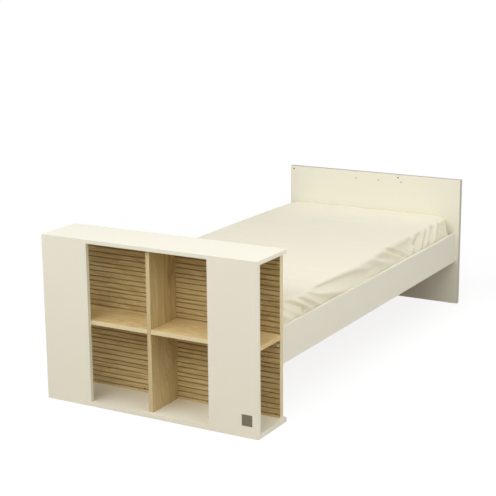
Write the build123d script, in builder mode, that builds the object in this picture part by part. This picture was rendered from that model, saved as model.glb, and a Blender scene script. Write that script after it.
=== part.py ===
from build123d import *

import os

# A convertible crib set up as a junior bed. The foot end is an open bookcase,
# the crib's two end boards are the bookcase's back and the headboard, and two
# rails carry a slatted base with a mattress in a fitted sheet.
# Millimetres. X runs across the bed, -Y is the foot with the bookcase, +Y the
# headboard, +Z up. The origin is on the floor under the middle of the bed.

# Overall size
WIDTH = 1000.0
LENGTH = 2160.0
HEIGHT = 700.0

# Boards
BOARD = 18.0
TOP_BOARD = 16.0
EDGE_RADIUS = 0.6
GLIDE_HEIGHT = 2.0
GLIDE_RADIUS = 11.0
HEADBOARD_GLIDE_RADIUS = 8.0
GLIDE_PIN_RADIUS = 1.5
GLIDE_PIN_HOLE = 1.6
GLIDE_PIN_LENGTH = 12.0

# Bookcase
BOOKCASE_DEPTH = 228.0
FRONT_PANEL_WIDTH = 220.0
SHELF_BOTTOM = 345.0
SHELF_END = 490.0
LABEL_SIDE = 46.0
LABEL_THICKNESS = 1.5
LABEL_RECESS_GAP = 0.15
LABEL_CHAMFER = 0.6
LABEL_CENTRE_X = 450.0
LABEL_CENTRE_Z = 72.0
SHELF_END_HOLE_DISTANCES = (67.0, 129.0)
SIDE_PANEL_HOLE_DISTANCE = 104.0
SIDE_PANEL_HOLE_INSET = 9.0
SIDE_PANEL_HOLE_RADIUS = 3.0
FRONT_DOWEL_XS = (310.0, 472.0)
FRONT_CAM_XS = (340.0, 442.0)
FOOT_DOWEL_XS = (110.0, 410.0)
FOOT_CAM_XS = (40.0, 260.0)
DIVIDER_DOWEL_INSET = 28.0
DIVIDER_CAM_INSET = 62.0
SHELF_FRONT_DOWEL_XS = (320.0, 460.0)
SHELF_FOOT_DOWEL_XS = (150.0, 420.0)
GLIDE_XS = (-470.0, 0.0, 470.0)
GLIDE_INSET = 28.0

# Crib end boards, which are the bookcase's back and the headboard
END_BOARD_WIDTH = 968.0
HEADBOARD_HEIGHT = 650.0
FACING = 6.0
EDGE_BAND = 1.0
GROOVE_WIDTH = 4.4
GROOVE_DEPTH = 3.4
GROOVE_LIP_RADIUS = 0.9
FIRST_GROOVE = 32.5
GROOVE_STEPS = (23.0, 20.5, 23.5, 20.5, 16.5)
GROOVE_TOP_MARGIN = 20.0
GROOVE_OVERCUT = 0.5
HEADBOARD_GLIDE_X = 440.0
FOOT_SPARE_HOLES = ((-156.0, 35.0), (465.0, 35.0))
FOOT_CAP_X = 474.0
FOOT_CAP_Z = 317.0
HEAD_SPARE_HOLES = ((-466.0, 634.0), (143.0, 634.0))
HEAD_CAP_XS = (-97.0, 33.0, 161.0)
HEAD_CAP_Z = 613.0

# Rails and slatted base
RAIL_HEIGHT = 150.0
RAIL_BOTTOM = 225.0
RAIL_EDGE_RADIUS = 1.5
RAIL_DOWEL_RISE = 65.0
RAIL_DOWEL_DROP = 25.0
MATTRESS_SPACE = 900.0
LEDGER_WIDTH = 25.0
LEDGER_HEIGHT = 30.0
LEDGER_TOP = 306.0
LEDGER_END_GAP = 4.0
LEDGER_SCREWS = 7
LEDGER_SCREW_INSET = 80.0
SLAT_COUNT = 14
SLAT_WIDTH = 68.0
SLAT_THICKNESS = 14.0
SLAT_LENGTH = 886.0
SLAT_EDGE_RADIUS = 2.0
END_SLAT_GAP = 36.0
WEBBING_WIDTH = 30.0
WEBBING_THICKNESS = 1.2
WEBBING_X = 300.0
WEBBING_END_INSET = 8.0

# Mattress and fitted sheet
MATTRESS_WIDTH = 878.0
MATTRESS_LENGTH = 1888.0
MATTRESS_THICKNESS = 136.0
MATTRESS_CORNER = 45.0
MATTRESS_HEAD_GAP = 4.0
SHEET_GAP = 0.4
SHEET_THICKNESS = 2.0
SHEET_LIP = 90.0
CORE_PAD_INSET = 98.0
CROWN_INSET = 10.0
# The mattress's outlines from bottom to top. Each is a height above the slats,
# how far the outline is drawn in all round, how far its long sides spread, and
# how far it leans over the left rail.
MATTRESS_PROFILE = ((2.4, 9.0, 0.0, 0.0), (14.0, 1.0, 0.0, 0.0), (34.0, 0.0, 0.0, 0.0), (56.0, 2.0, 0.0, 1.0),
                    (72.0, 0.0, 7.0, 14.0), (104.0, 0.0, 9.0, 18.0), (123.0, 2.0, 9.0, 18.0),
                    (131.0, 9.0, 9.0, 18.0), (134.5, 26.0, 9.0, 18.0), (136.0, 90.0, 9.0, 18.0))
# Pleats down the sheet's right side. Each is a distance from the foot end, a
# lean, a length and a height.
SIDE_PLEATS = ((64, 16, 74, 3.4), (88, 16, 76, 3.0), (112, 14, 74, 3.2), (140, 12, 70, 2.6), (190, 16, 78, 3.0),
               (640, 12, 70, 2.4), (980, 16, 78, 3.2), (1040, -14, 76, 3.2), (1220, 10, 64, 2.2),
               (1700, 8, 70, 2.6), (1750, 4, 76, 3.4), (1788, 0, 78, 3.6), (1822, -3, 78, 3.6))
# Creases across the sheet's top. Each is a distance from the foot end, the
# crease's middle across the bed, a length and a height.
TOP_CREASES = ((110, 150, 420, 2.0), (300, 60, 520, 1.6), (620, -40, 600, 1.6), (980, 80, 560, 1.8),
               (1360, 0, 620, 1.6), (1700, 60, 560, 1.8))
PLEAT_RISE = 90.0
PLEAT_OUTLINE = 5
PLEAT_HALF_WIDTH = 6.0
CREASE_HALF_WIDTH = 14.0
RIDGE_END_SCALE = 0.2
RIDGE_SINK = 1.0

# Fastenings
DOWEL_RADIUS = 4.0
DOWEL_CLEARANCE = 0.1
DOWEL_LENGTH = 30.0
DOWEL_CHAMFER = 0.7
PANEL_DOWEL_DEPTH = 11.0
DIVIDER_DOWEL_DEPTH = 8.0
FOOT_DOWEL_DEPTH = 14.0
HOLE_SPARE = 0.5
CAM_RADIUS = 7.4
CAM_DEPTH = 12.6
CAM_DISTANCE = 34.0
CAM_CLEARANCE = 0.1
CAM_CHANNEL = 7.0
CAM_CHANNEL_REACH = 4.0
CAM_CROSS_LENGTH = 9.0
CAM_CROSS_WIDTH = 1.8
CAM_CROSS_DEPTH = 2.4
CAM_BOLT_RADIUS = 3.0
CAM_BOLT_NECK = 2.2
CAM_BOLT_HEAD = 5.0
CAM_BOLT_TIP = 2.0
CAM_BOLT_THREAD = 11.0
CAM_BOLT_HOLE = 3.2
SCREW_RADIUS = 2.0
SCREW_HOLE = 2.1
SCREW_HEAD_RADIUS = 3.9
SCREW_SINK_RADIUS = 4.2
SCREW_HEAD_HEIGHT = 2.0
SCREW_CROSS_LENGTH = 4.4
SCREW_CROSS_WIDTH = 0.9
SCREW_CROSS_DEPTH = 1.2
LEDGER_SCREW_LENGTH = 36.0
END_SLAT_SCREW_X = 436.0
END_SLAT_SCREW_LENGTH = 32.0
TACK_RADIUS = 0.9
TACK_HOLE_RADIUS = 1.0
TACK_HEAD_RADIUS = 3.5
TACK_HEAD = 0.8
TACK_LENGTH = 8.5
TACK_HOLE_DEPTH = 9.0
BOLT_RADIUS = 2.9
BOLT_LENGTH = 13.0
BOLT_HEAD_RADIUS = 5.2
BOLT_HEAD_HEIGHT = 3.2
BOLT_SOCKET_RADIUS = 2.3
BOLT_SOCKET_DEPTH = 2.0
INSERT_RADIUS = 4.95
INSERT_BORE = 3.0
INSERT_LENGTH = 12.0
INSERT_HOLE = 5.0
SPARE_HOLE_RADIUS = 4.0
SPARE_HOLE_DEPTH = 12.0
CAP_RADIUS = 5.0
CAP_HEAD = 0.8
CAP_SHANK_RADIUS = 3.8
CAP_SHANK = 8.0
CAP_EDGE_RADIUS = 0.5
GLIDE_EDGE_RADIUS = 0.8

# Rail brackets
BRACKET_THICKNESS = 2.0
BRACKET_RAIL_ARM = 60.0
BRACKET_END_ARM = 52.0
BRACKET_BOTTOM = 232.0
BRACKET_HEIGHT = 38.0
BRACKET_BEND_RADIUS = 3.0
BRACKET_CORNER_RADIUS = 5.0
BRACKET_BOLT_OFFSETS = (22.0, 44.0)
BRACKET_END_BOLT_OFFSETS = (16.0, 38.0)
BRACKET_HOLE = 3.3

# Planes and levels that follow from the sizes above
FRONT_Y = -LENGTH / 2
FRONT_PANEL_BACK_Y = FRONT_Y + BOARD
BOOKCASE_BACK_Y = FRONT_Y + BOOKCASE_DEPTH
FOOT_BOARD_Y = BOOKCASE_BACK_Y - BOARD
FOOT_FACING_Y = FOOT_BOARD_Y - FACING
HEAD_FACE_Y = LENGTH / 2 - FACING - BOARD
HEAD_FACING_Y = LENGTH / 2 - FACING
BOTTOM_TOP_Z = GLIDE_HEIGHT + BOARD
TOP_UNDER_Z = HEIGHT - TOP_BOARD
OPENING_X = WIDTH / 2 - FRONT_PANEL_WIDTH
SHELF_TOP = SHELF_BOTTOM + BOARD
SHELF_MIDDLE = SHELF_BOTTOM + BOARD / 2
END_BOARD_X = END_BOARD_WIDTH / 2
RAIL_INNER_X = MATTRESS_SPACE / 2
RAIL_MIDDLE_X = RAIL_INNER_X + BOARD / 2
RAIL_OUTER_X = RAIL_INNER_X + BOARD
RAIL_TOP = RAIL_BOTTOM + RAIL_HEIGHT
LEDGER_INNER_X = RAIL_INNER_X - LEDGER_WIDTH
LEDGER_MIDDLE_Z = LEDGER_TOP - LEDGER_HEIGHT / 2
SLAT_TOP = LEDGER_TOP + SLAT_THICKNESS
MATTRESS_HEAD_Y = HEAD_FACE_Y - MATTRESS_HEAD_GAP
MATTRESS_MIDDLE_Y = MATTRESS_HEAD_Y - MATTRESS_LENGTH / 2
BRACKET_MIDDLE_Z = BRACKET_BOTTOM + BRACKET_HEIGHT / 2
DOWEL_HOLE = DOWEL_RADIUS + DOWEL_CLEARANCE
DOWEL_IN_EDGE = DOWEL_LENGTH - PANEL_DOWEL_DEPTH
CAM_POCKET = CAM_RADIUS + CAM_CLEARANCE
CAP_HOLE = CAP_SHANK_RADIUS + CAM_CLEARANCE
SIDES = ((-1, "left"), (1, "right"))
UP = (0, 0, 1)
DOWN = (0, 0, -1)
TO_HEAD = (0, 1, 0)
TO_FOOT = (0, -1, 0)

os.makedirs("parts", exist_ok=True)


def board(x_range, y_range, z_range, edge_radius=EDGE_RADIUS):
    """Adds a board between the given limits and eases its edges."""
    middle = tuple(sum(limits) / 2 for limits in (x_range, y_range, z_range))
    size = tuple(abs(limits[1] - limits[0]) for limits in (x_range, y_range, z_range))
    with Locations(middle):
        Box(*size)
    if edge_radius:
        fillet(edges(), radius=edge_radius)


def drill(points, outward, radius, depth):
    """Drills blind holes at points of a face that looks outward."""
    for point in points:
        with Locations(Plane(origin=point, z_dir=outward)):
            Hole(radius, depth)


def rods(points, axis, radius, start, end):
    """Adds round rods along an axis, from start to end as seen from each point."""
    for point in points:
        with Locations(Plane(origin=point, z_dir=axis)):
            with Locations((0, 0, (start + end) / 2)):
                Cylinder(radius, end - start)


def keep(piece, name):
    """Labels a finished piece and writes its file."""
    piece.part.label = name
    export_step(piece.part, f"parts/{name}.step")


def both_sides(points):
    """Repeats points on the other side of the bed."""
    return [(side * x, y, z) for side, _ in SIDES for x, y, z in points]


# Joints of the bookcase: points lie where two boards meet
front_panel_y = FRONT_Y + BOARD / 2
foot_board_middle_y = FOOT_BOARD_Y + BOARD / 2
divider_dowel_ys = (FRONT_PANEL_BACK_Y + DIVIDER_DOWEL_INSET, FOOT_FACING_Y - DIVIDER_DOWEL_INSET)
divider_cam_ys = (FRONT_PANEL_BACK_Y + DIVIDER_CAM_INSET, FOOT_FACING_Y - DIVIDER_CAM_INSET)
panel_levels = (BOTTOM_TOP_Z, TOP_UNDER_Z)
front_dowels = {z: both_sides([(x, front_panel_y, z) for x in FRONT_DOWEL_XS]) for z in panel_levels}
front_cams = {z: both_sides([(x, front_panel_y, z) for x in FRONT_CAM_XS]) for z in panel_levels}
divider_dowels = {z: [(0, y, z) for y in divider_dowel_ys] for z in panel_levels}
divider_cams = {z: [(0, y, z) for y in divider_cam_ys] for z in panel_levels}
foot_dowels = {z: both_sides([(x, foot_board_middle_y, z) for x in FOOT_DOWEL_XS]) for z in panel_levels}
foot_cams = {z: both_sides([(x, foot_board_middle_y, z) for x in FOOT_CAM_XS]) for z in panel_levels}
shelf_to_divider_dowels = [(BOARD / 2, y, SHELF_MIDDLE) for y in divider_dowel_ys]
shelf_to_divider_cams = [(BOARD / 2, y, SHELF_MIDDLE) for y in divider_cam_ys]
shelf_to_front_dowels = [(x, FRONT_PANEL_BACK_Y, SHELF_MIDDLE) for x in SHELF_FRONT_DOWEL_XS]
shelf_to_foot_dowels = [(x, FOOT_FACING_Y, SHELF_MIDDLE) for x in SHELF_FOOT_DOWEL_XS]

# Joints of the rails: dowels in their ends, brackets bolted behind them
rail_dowel_zs = (RAIL_BOTTOM + RAIL_DOWEL_RISE, RAIL_TOP - RAIL_DOWEL_DROP)
foot_rail_dowels = both_sides([(RAIL_MIDDLE_X, BOOKCASE_BACK_Y, z) for z in rail_dowel_zs])
head_rail_dowels = both_sides([(RAIL_MIDDLE_X, HEAD_FACE_Y, z) for z in rail_dowel_zs])
end_bolt_xs = [RAIL_INNER_X - BRACKET_THICKNESS - offset for offset in BRACKET_END_BOLT_OFFSETS]
foot_bracket_bolts = both_sides([(x, BOOKCASE_BACK_Y, BRACKET_MIDDLE_Z) for x in end_bolt_xs])
head_bracket_bolts = [(x, HEAD_FACE_Y, z) for x, _, z in foot_bracket_bolts]
rail_bolt_ys = [BOOKCASE_BACK_Y + offset for offset in BRACKET_BOLT_OFFSETS]
rail_bolt_ys += [HEAD_FACE_Y - offset for offset in BRACKET_BOLT_OFFSETS]
rail_bracket_bolts = [(RAIL_INNER_X, y, BRACKET_MIDDLE_Z) for y in rail_bolt_ys]

# Spare holes and caps that the crib form leaves in the end boards
foot_spare_holes = [(x, FOOT_FACING_Y, z) for x, z in FOOT_SPARE_HOLES]
foot_caps = both_sides([(FOOT_CAP_X, FOOT_FACING_Y, FOOT_CAP_Z)])
head_spare_holes = [(x, HEAD_FACE_Y, z) for x, z in HEAD_SPARE_HOLES]
head_caps = [(x, HEAD_FACE_Y, HEAD_CAP_Z) for x in HEAD_CAP_XS]

# Screws of the slatted base
ledger_length = HEAD_FACE_Y - BOOKCASE_BACK_Y - 2 * LEDGER_END_GAP
ledger_screw_step = (ledger_length - 2 * LEDGER_SCREW_INSET) / (LEDGER_SCREWS - 1)
first_ledger_screw_y = BOOKCASE_BACK_Y + LEDGER_END_GAP + LEDGER_SCREW_INSET
ledger_screw_ys = [first_ledger_screw_y + ledger_screw_step * index for index in range(LEDGER_SCREWS)]
slat_first_y = BOOKCASE_BACK_Y + END_SLAT_GAP + SLAT_WIDTH / 2
slat_step = (HEAD_FACE_Y - END_SLAT_GAP - SLAT_WIDTH / 2 - slat_first_y) / (SLAT_COUNT - 1)
slat_ys = [slat_first_y + slat_step * index for index in range(SLAT_COUNT)]
end_slat_screws = both_sides([(END_SLAT_SCREW_X, y, SLAT_TOP) for y in (slat_ys[0], slat_ys[-1])])

# Bookcase
glide_ys = (FRONT_Y + GLIDE_INSET, BOOKCASE_BACK_Y - GLIDE_INSET)
bookcase_glide_points = [(x, y, GLIDE_HEIGHT) for x in GLIDE_XS for y in glide_ys]
side_panel_hole_y = FRONT_Y + SIDE_PANEL_HOLE_DISTANCE
shelf_end_hole_ys = [FRONT_Y + distance for distance in SHELF_END_HOLE_DISTANCES]

with BuildPart() as bookcase_bottom_panel:
    board((-WIDTH / 2, WIDTH / 2), (FRONT_Y, BOOKCASE_BACK_Y), (GLIDE_HEIGHT, BOTTOM_TOP_Z))
    for points in (front_dowels, divider_dowels, foot_dowels):
        drill(points[BOTTOM_TOP_Z], UP, DOWEL_HOLE, PANEL_DOWEL_DEPTH + HOLE_SPARE)
    for points in (front_cams, divider_cams, foot_cams):
        drill(points[BOTTOM_TOP_Z], UP, CAM_BOLT_HOLE, CAM_BOLT_THREAD + HOLE_SPARE)
    drill(bookcase_glide_points, DOWN, GLIDE_PIN_HOLE, GLIDE_PIN_LENGTH + HOLE_SPARE)
    drill(both_sides([(WIDTH / 2 - SIDE_PANEL_HOLE_INSET, side_panel_hole_y, BOTTOM_TOP_Z)]),
          UP, SIDE_PANEL_HOLE_RADIUS, SPARE_HOLE_DEPTH)
keep(bookcase_bottom_panel, "bookcase_bottom_panel")

with BuildPart() as bookcase_top_panel:
    board((-WIDTH / 2, WIDTH / 2), (FRONT_Y, BOOKCASE_BACK_Y), (TOP_UNDER_Z, HEIGHT))
    for points in (front_dowels, divider_dowels, foot_dowels):
        drill(points[TOP_UNDER_Z], DOWN, DOWEL_HOLE, PANEL_DOWEL_DEPTH + HOLE_SPARE)
    for points in (front_cams, divider_cams, foot_cams):
        drill(points[TOP_UNDER_Z], DOWN, CAM_BOLT_HOLE, CAM_BOLT_THREAD + HOLE_SPARE)
keep(bookcase_top_panel, "bookcase_top_panel")


for side, name in SIDES:
    with BuildPart() as front_panel:
        board((side * OPENING_X, side * WIDTH / 2), (FRONT_Y, FRONT_PANEL_BACK_Y),
              (BOTTOM_TOP_Z, TOP_UNDER_Z))
        for level, outward in ((BOTTOM_TOP_Z, DOWN), (TOP_UNDER_Z, UP)):
            dowel_points = [point for point in front_dowels[level] if point[0] * side > 0]
            cam_points = [point for point in front_cams[level] if point[0] * side > 0]
            drill(dowel_points, outward, DOWEL_HOLE, DOWEL_IN_EDGE + HOLE_SPARE)
            drill(cam_points, outward, CAM_BOLT_HOLE, CAM_DISTANCE)
            cam_z = level - outward[2] * CAM_DISTANCE
            drill([(x, FRONT_PANEL_BACK_Y, cam_z) for x, _, _ in cam_points], TO_HEAD,
                  CAM_POCKET, CAM_DEPTH)
        drill([(side * x, y, z) for x, y, z in shelf_to_front_dowels], TO_HEAD,
              DOWEL_HOLE, PANEL_DOWEL_DEPTH + HOLE_SPARE)
        if side > 0:
            with Locations((LABEL_CENTRE_X, FRONT_Y + LABEL_THICKNESS / 2, LABEL_CENTRE_Z)):
                recess_side = LABEL_SIDE + 2 * LABEL_RECESS_GAP
                Box(recess_side, LABEL_THICKNESS, recess_side, mode=Mode.SUBTRACT)
    keep(front_panel, f"bookcase_{name}_front_panel")

with BuildPart() as label_plate:
    with Locations((LABEL_CENTRE_X, FRONT_Y + LABEL_THICKNESS / 2, LABEL_CENTRE_Z)):
        Box(LABEL_SIDE, LABEL_THICKNESS, LABEL_SIDE)
    chamfer(label_plate.faces().sort_by(Axis.Y)[0].edges(), length=LABEL_CHAMFER)
keep(label_plate, "label_plate")

with BuildPart() as bookcase_divider:
    board((-BOARD / 2, BOARD / 2), (FRONT_PANEL_BACK_Y, FOOT_FACING_Y), (BOTTOM_TOP_Z, TOP_UNDER_Z))
    for level, outward in ((BOTTOM_TOP_Z, DOWN), (TOP_UNDER_Z, UP)):
        drill(divider_dowels[level], outward, DOWEL_HOLE, DOWEL_IN_EDGE + HOLE_SPARE)
        drill(divider_cams[level], outward, CAM_BOLT_HOLE, CAM_DISTANCE)
        cam_z = level - outward[2] * CAM_DISTANCE
        drill([(-BOARD / 2, y, cam_z) for _, y, _ in divider_cams[level]], (-1, 0, 0),
              CAM_POCKET, CAM_DEPTH)
    for side, _ in SIDES:
        drill([(side * x, y, z) for x, y, z in shelf_to_divider_dowels], (side, 0, 0),
              DOWEL_HOLE, DIVIDER_DOWEL_DEPTH + HOLE_SPARE)
    drill(shelf_to_divider_cams, (1, 0, 0), CAM_BOLT_HOLE, BOARD)
keep(bookcase_divider, "bookcase_divider")


for side, name in SIDES:
    with BuildPart() as shelf:
        board((side * BOARD / 2, side * SHELF_END), (FRONT_PANEL_BACK_Y, FOOT_FACING_Y),
              (SHELF_BOTTOM, SHELF_TOP))
        drill([(side * x, y, z) for x, y, z in shelf_to_divider_dowels], (-side, 0, 0),
              DOWEL_HOLE, DOWEL_LENGTH - DIVIDER_DOWEL_DEPTH + HOLE_SPARE)
        drill([(side * x, y, z) for x, y, z in shelf_to_divider_cams], (-side, 0, 0),
              CAM_BOLT_HOLE, CAM_DISTANCE)
        drill([(side * (x + CAM_DISTANCE), y, SHELF_BOTTOM) for x, y, _ in shelf_to_divider_cams],
              DOWN, CAM_POCKET, CAM_DEPTH)
        drill([(side * x, y, z) for x, y, z in shelf_to_front_dowels], TO_FOOT,
              DOWEL_HOLE, DOWEL_IN_EDGE + HOLE_SPARE)
        drill([(side * x, y, z) for x, y, z in shelf_to_foot_dowels], TO_HEAD,
              DOWEL_HOLE, DOWEL_LENGTH - FOOT_DOWEL_DEPTH + HOLE_SPARE)
        drill([(side * SHELF_END, y, SHELF_MIDDLE) for y in shelf_end_hole_ys], (side, 0, 0),
              SIDE_PANEL_HOLE_RADIUS, SPARE_HOLE_DEPTH)
    keep(shelf, f"bookcase_{name}_shelf")


# The two end boards: an ivory board, a grooved oak facing and oak edge bands
def groove_heights(bottom, top):
    """Heights of the grooves, which repeat in uneven fives."""
    heights = []
    height = bottom + FIRST_GROOVE - BOTTOM_TOP_Z
    index = 0
    while height < top - GROOVE_TOP_MARGIN:
        heights.append(height)
        height += GROOVE_STEPS[index % len(GROOVE_STEPS)]
        index += 1
    return heights


def groove_profile(across):
    """Draws one groove: across is +1 where the grooved face looks along +Y."""
    half = GROOVE_WIDTH / 2
    lip = GROOVE_LIP_RADIUS
    outside = (half + lip, GROOVE_OVERCUT * across)
    Polyline((outside[0], 0), outside, (-outside[0], outside[1]), (-outside[0], 0))
    for end in (-1, 1):
        RadiusArc((end * (half + lip), 0), (end * half, -across * lip), radius=-end * across * lip)
    Polyline((-half, -across * lip), (-half, -across * GROOVE_DEPTH),
             (half, -across * GROOVE_DEPTH), (half, -across * lip))


facing_x = END_BOARD_X - EDGE_BAND

with BuildPart() as footboard_oak_facing:
    board((-facing_x, facing_x), (FOOT_FACING_Y, FOOT_BOARD_Y), (BOTTOM_TOP_Z, TOP_UNDER_Z), 0)
    for height in groove_heights(BOTTOM_TOP_Z, TOP_UNDER_Z):
        with BuildSketch(Plane(origin=(-facing_x, FOOT_FACING_Y, height), x_dir=UP, z_dir=(1, 0, 0))):
            with BuildLine():
                groove_profile(1)
            make_face()
        extrude(amount=2 * facing_x, mode=Mode.SUBTRACT)
    drill(both_sides(shelf_to_foot_dowels), TO_FOOT, DOWEL_HOLE, FACING)
    drill(foot_spare_holes, TO_FOOT, SPARE_HOLE_RADIUS, FACING)
    drill(foot_caps, TO_FOOT, CAP_HOLE, FACING)
keep(footboard_oak_facing, "footboard_oak_facing")

with BuildPart() as footboard_panel:
    board((-facing_x, facing_x), (FOOT_BOARD_Y, BOOKCASE_BACK_Y), (BOTTOM_TOP_Z, TOP_UNDER_Z), 0)
    for level, outward in ((BOTTOM_TOP_Z, DOWN), (TOP_UNDER_Z, UP)):
        drill(foot_dowels[level], outward, DOWEL_HOLE, DOWEL_IN_EDGE + HOLE_SPARE)
        drill(foot_cams[level], outward, CAM_BOLT_HOLE, CAM_DISTANCE)
        cam_z = level - outward[2] * CAM_DISTANCE
        drill([(x, BOOKCASE_BACK_Y, cam_z) for x, _, _ in foot_cams[level]], TO_HEAD,
              CAM_POCKET, CAM_DEPTH)
    through_facing = ((both_sides(shelf_to_foot_dowels), DOWEL_HOLE, FOOT_DOWEL_DEPTH + HOLE_SPARE),
                      (foot_spare_holes, SPARE_HOLE_RADIUS, SPARE_HOLE_DEPTH),
                      (foot_caps, CAP_HOLE, CAP_SHANK + HOLE_SPARE))
    for points, radius, depth in through_facing:
        drill([(x, FOOT_BOARD_Y, z) for x, _, z in points], TO_FOOT, radius, depth - FACING)
    drill(foot_rail_dowels, TO_HEAD, DOWEL_HOLE, PANEL_DOWEL_DEPTH + HOLE_SPARE)
    drill(foot_bracket_bolts, TO_HEAD, INSERT_HOLE, INSERT_LENGTH + HOLE_SPARE)
keep(footboard_panel, "footboard_panel")

with BuildPart() as footboard_edge_bands:
    for side, _ in SIDES:
        with Locations((side * (END_BOARD_X - EDGE_BAND / 2), (FOOT_FACING_Y + BOOKCASE_BACK_Y) / 2,
                        (BOTTOM_TOP_Z + TOP_UNDER_Z) / 2)):
            Box(EDGE_BAND, BOARD + FACING, TOP_UNDER_Z - BOTTOM_TOP_Z)
keep(footboard_edge_bands, "footboard_edge_bands")

headboard_board_top = HEADBOARD_HEIGHT - EDGE_BAND

with BuildPart() as headboard_oak_facing:
    board((-facing_x, facing_x), (HEAD_FACING_Y, LENGTH / 2), (GLIDE_HEIGHT, headboard_board_top), 0)
    for height in groove_heights(GLIDE_HEIGHT, HEADBOARD_HEIGHT):
        with BuildSketch(Plane(origin=(-facing_x, LENGTH / 2, height), x_dir=UP, z_dir=(1, 0, 0))):
            with BuildLine():
                groove_profile(-1)
            make_face()
        extrude(amount=2 * facing_x, mode=Mode.SUBTRACT)
keep(headboard_oak_facing, "headboard_oak_facing")

headboard_glide_y = (HEAD_FACE_Y + HEAD_FACING_Y) / 2
headboard_glide_points = both_sides([(HEADBOARD_GLIDE_X, headboard_glide_y, GLIDE_HEIGHT)])

with BuildPart() as headboard_panel:
    board((-facing_x, facing_x), (HEAD_FACE_Y, HEAD_FACING_Y), (GLIDE_HEIGHT, headboard_board_top), 0)
    drill(head_spare_holes, TO_FOOT, SPARE_HOLE_RADIUS, SPARE_HOLE_DEPTH)
    drill(head_caps, TO_FOOT, CAP_HOLE, CAP_SHANK + HOLE_SPARE)
    drill(head_rail_dowels, TO_FOOT, DOWEL_HOLE, PANEL_DOWEL_DEPTH + HOLE_SPARE)
    drill(head_bracket_bolts, TO_FOOT, INSERT_HOLE, INSERT_LENGTH + HOLE_SPARE)
    drill(headboard_glide_points, DOWN, GLIDE_PIN_HOLE, GLIDE_PIN_LENGTH + HOLE_SPARE)
keep(headboard_panel, "headboard_panel")

with BuildPart() as headboard_edge_bands:
    end_board_middle_y = (HEAD_FACE_Y + LENGTH / 2) / 2
    with Locations((0, end_board_middle_y, HEADBOARD_HEIGHT - EDGE_BAND / 2)):
        Box(END_BOARD_WIDTH, BOARD + FACING, EDGE_BAND)
    for side, _ in SIDES:
        with Locations((side * (END_BOARD_X - EDGE_BAND / 2), end_board_middle_y,
                        (GLIDE_HEIGHT + headboard_board_top) / 2)):
            Box(EDGE_BAND, BOARD + FACING, headboard_board_top - GLIDE_HEIGHT)
keep(headboard_edge_bands, "headboard_edge_bands")

# Side rails with the ledger strips that carry the slats
rail_dowel_depth = DOWEL_LENGTH - PANEL_DOWEL_DEPTH + HOLE_SPARE
webbing_start = slat_ys[0] - SLAT_WIDTH / 2 + WEBBING_END_INSET
webbing_end = slat_ys[-1] + SLAT_WIDTH / 2 - WEBBING_END_INSET

for side, name in SIDES:
    inward = (-side, 0, 0)
    with BuildPart() as side_rail:
        board((side * RAIL_INNER_X, side * RAIL_OUTER_X), (BOOKCASE_BACK_Y, HEAD_FACE_Y),
              (RAIL_BOTTOM, RAIL_TOP), 0)
        fillet(side_rail.edges().filter_by(Axis.Y), radius=RAIL_EDGE_RADIUS)
        for points, outward in ((foot_rail_dowels, TO_FOOT), (head_rail_dowels, TO_HEAD)):
            drill([point for point in points if point[0] * side > 0], outward, DOWEL_HOLE, rail_dowel_depth)
        drill([(side * x, y, z) for x, y, z in rail_bracket_bolts], inward,
              INSERT_HOLE, INSERT_LENGTH + HOLE_SPARE)
        drill([(side * RAIL_INNER_X, y, LEDGER_MIDDLE_Z) for y in ledger_screw_ys], inward,
              SCREW_HOLE, LEDGER_SCREW_LENGTH - LEDGER_WIDTH + HOLE_SPARE)
    keep(side_rail, f"{name}_side_rail")

    with BuildPart() as ledger_strip:
        board((side * LEDGER_INNER_X, side * RAIL_INNER_X),
              (BOOKCASE_BACK_Y + LEDGER_END_GAP, HEAD_FACE_Y - LEDGER_END_GAP),
              (LEDGER_TOP - LEDGER_HEIGHT, LEDGER_TOP))
        for y in ledger_screw_ys:
            with Locations(Plane(origin=(side * LEDGER_INNER_X, y, LEDGER_MIDDLE_Z), z_dir=inward)):
                CounterSinkHole(SCREW_HOLE, SCREW_SINK_RADIUS, LEDGER_WIDTH)
        drill([(x, y, LEDGER_TOP) for x, y, _ in end_slat_screws if x * side > 0], UP,
              SCREW_HOLE, END_SLAT_SCREW_LENGTH - SLAT_THICKNESS + HOLE_SPARE)
    keep(ledger_strip, f"{name}_ledger_strip")

    with BuildPart() as slat_webbing:
        with Locations((side * WEBBING_X, (webbing_start + webbing_end) / 2,
                        LEDGER_TOP - WEBBING_THICKNESS / 2)):
            Box(WEBBING_WIDTH, webbing_end - webbing_start, WEBBING_THICKNESS)
        drill([(side * WEBBING_X, y, LEDGER_TOP) for y in slat_ys], UP,
              TACK_HOLE_RADIUS, WEBBING_THICKNESS)
    keep(slat_webbing, f"{name}_slat_webbing")


for number, slat_y in enumerate(slat_ys, start=1):
    with BuildPart() as slat:
        board((-SLAT_LENGTH / 2, SLAT_LENGTH / 2), (slat_y - SLAT_WIDTH / 2, slat_y + SLAT_WIDTH / 2),
              (LEDGER_TOP, SLAT_TOP), 0)
        fillet(slat.edges().filter_by(Axis.X), radius=SLAT_EDGE_RADIUS)
        drill([(side * WEBBING_X, slat_y, LEDGER_TOP) for side, _ in SIDES], DOWN,
              TACK_HOLE_RADIUS, TACK_HOLE_DEPTH)
        for point in end_slat_screws:
            if point[1] == slat_y:
                with Locations(point):
                    CounterSinkHole(SCREW_HOLE, SCREW_SINK_RADIUS, SLAT_THICKNESS)
    keep(slat, f"slat_{number:02d}")


# Fastenings of the bookcase
def cam_plane(point, outward, to_edge):
    """Places a cam lock: z looks out of its pocket and x towards its bolt."""
    return Plane(origin=point, x_dir=to_edge, z_dir=outward)


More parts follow.
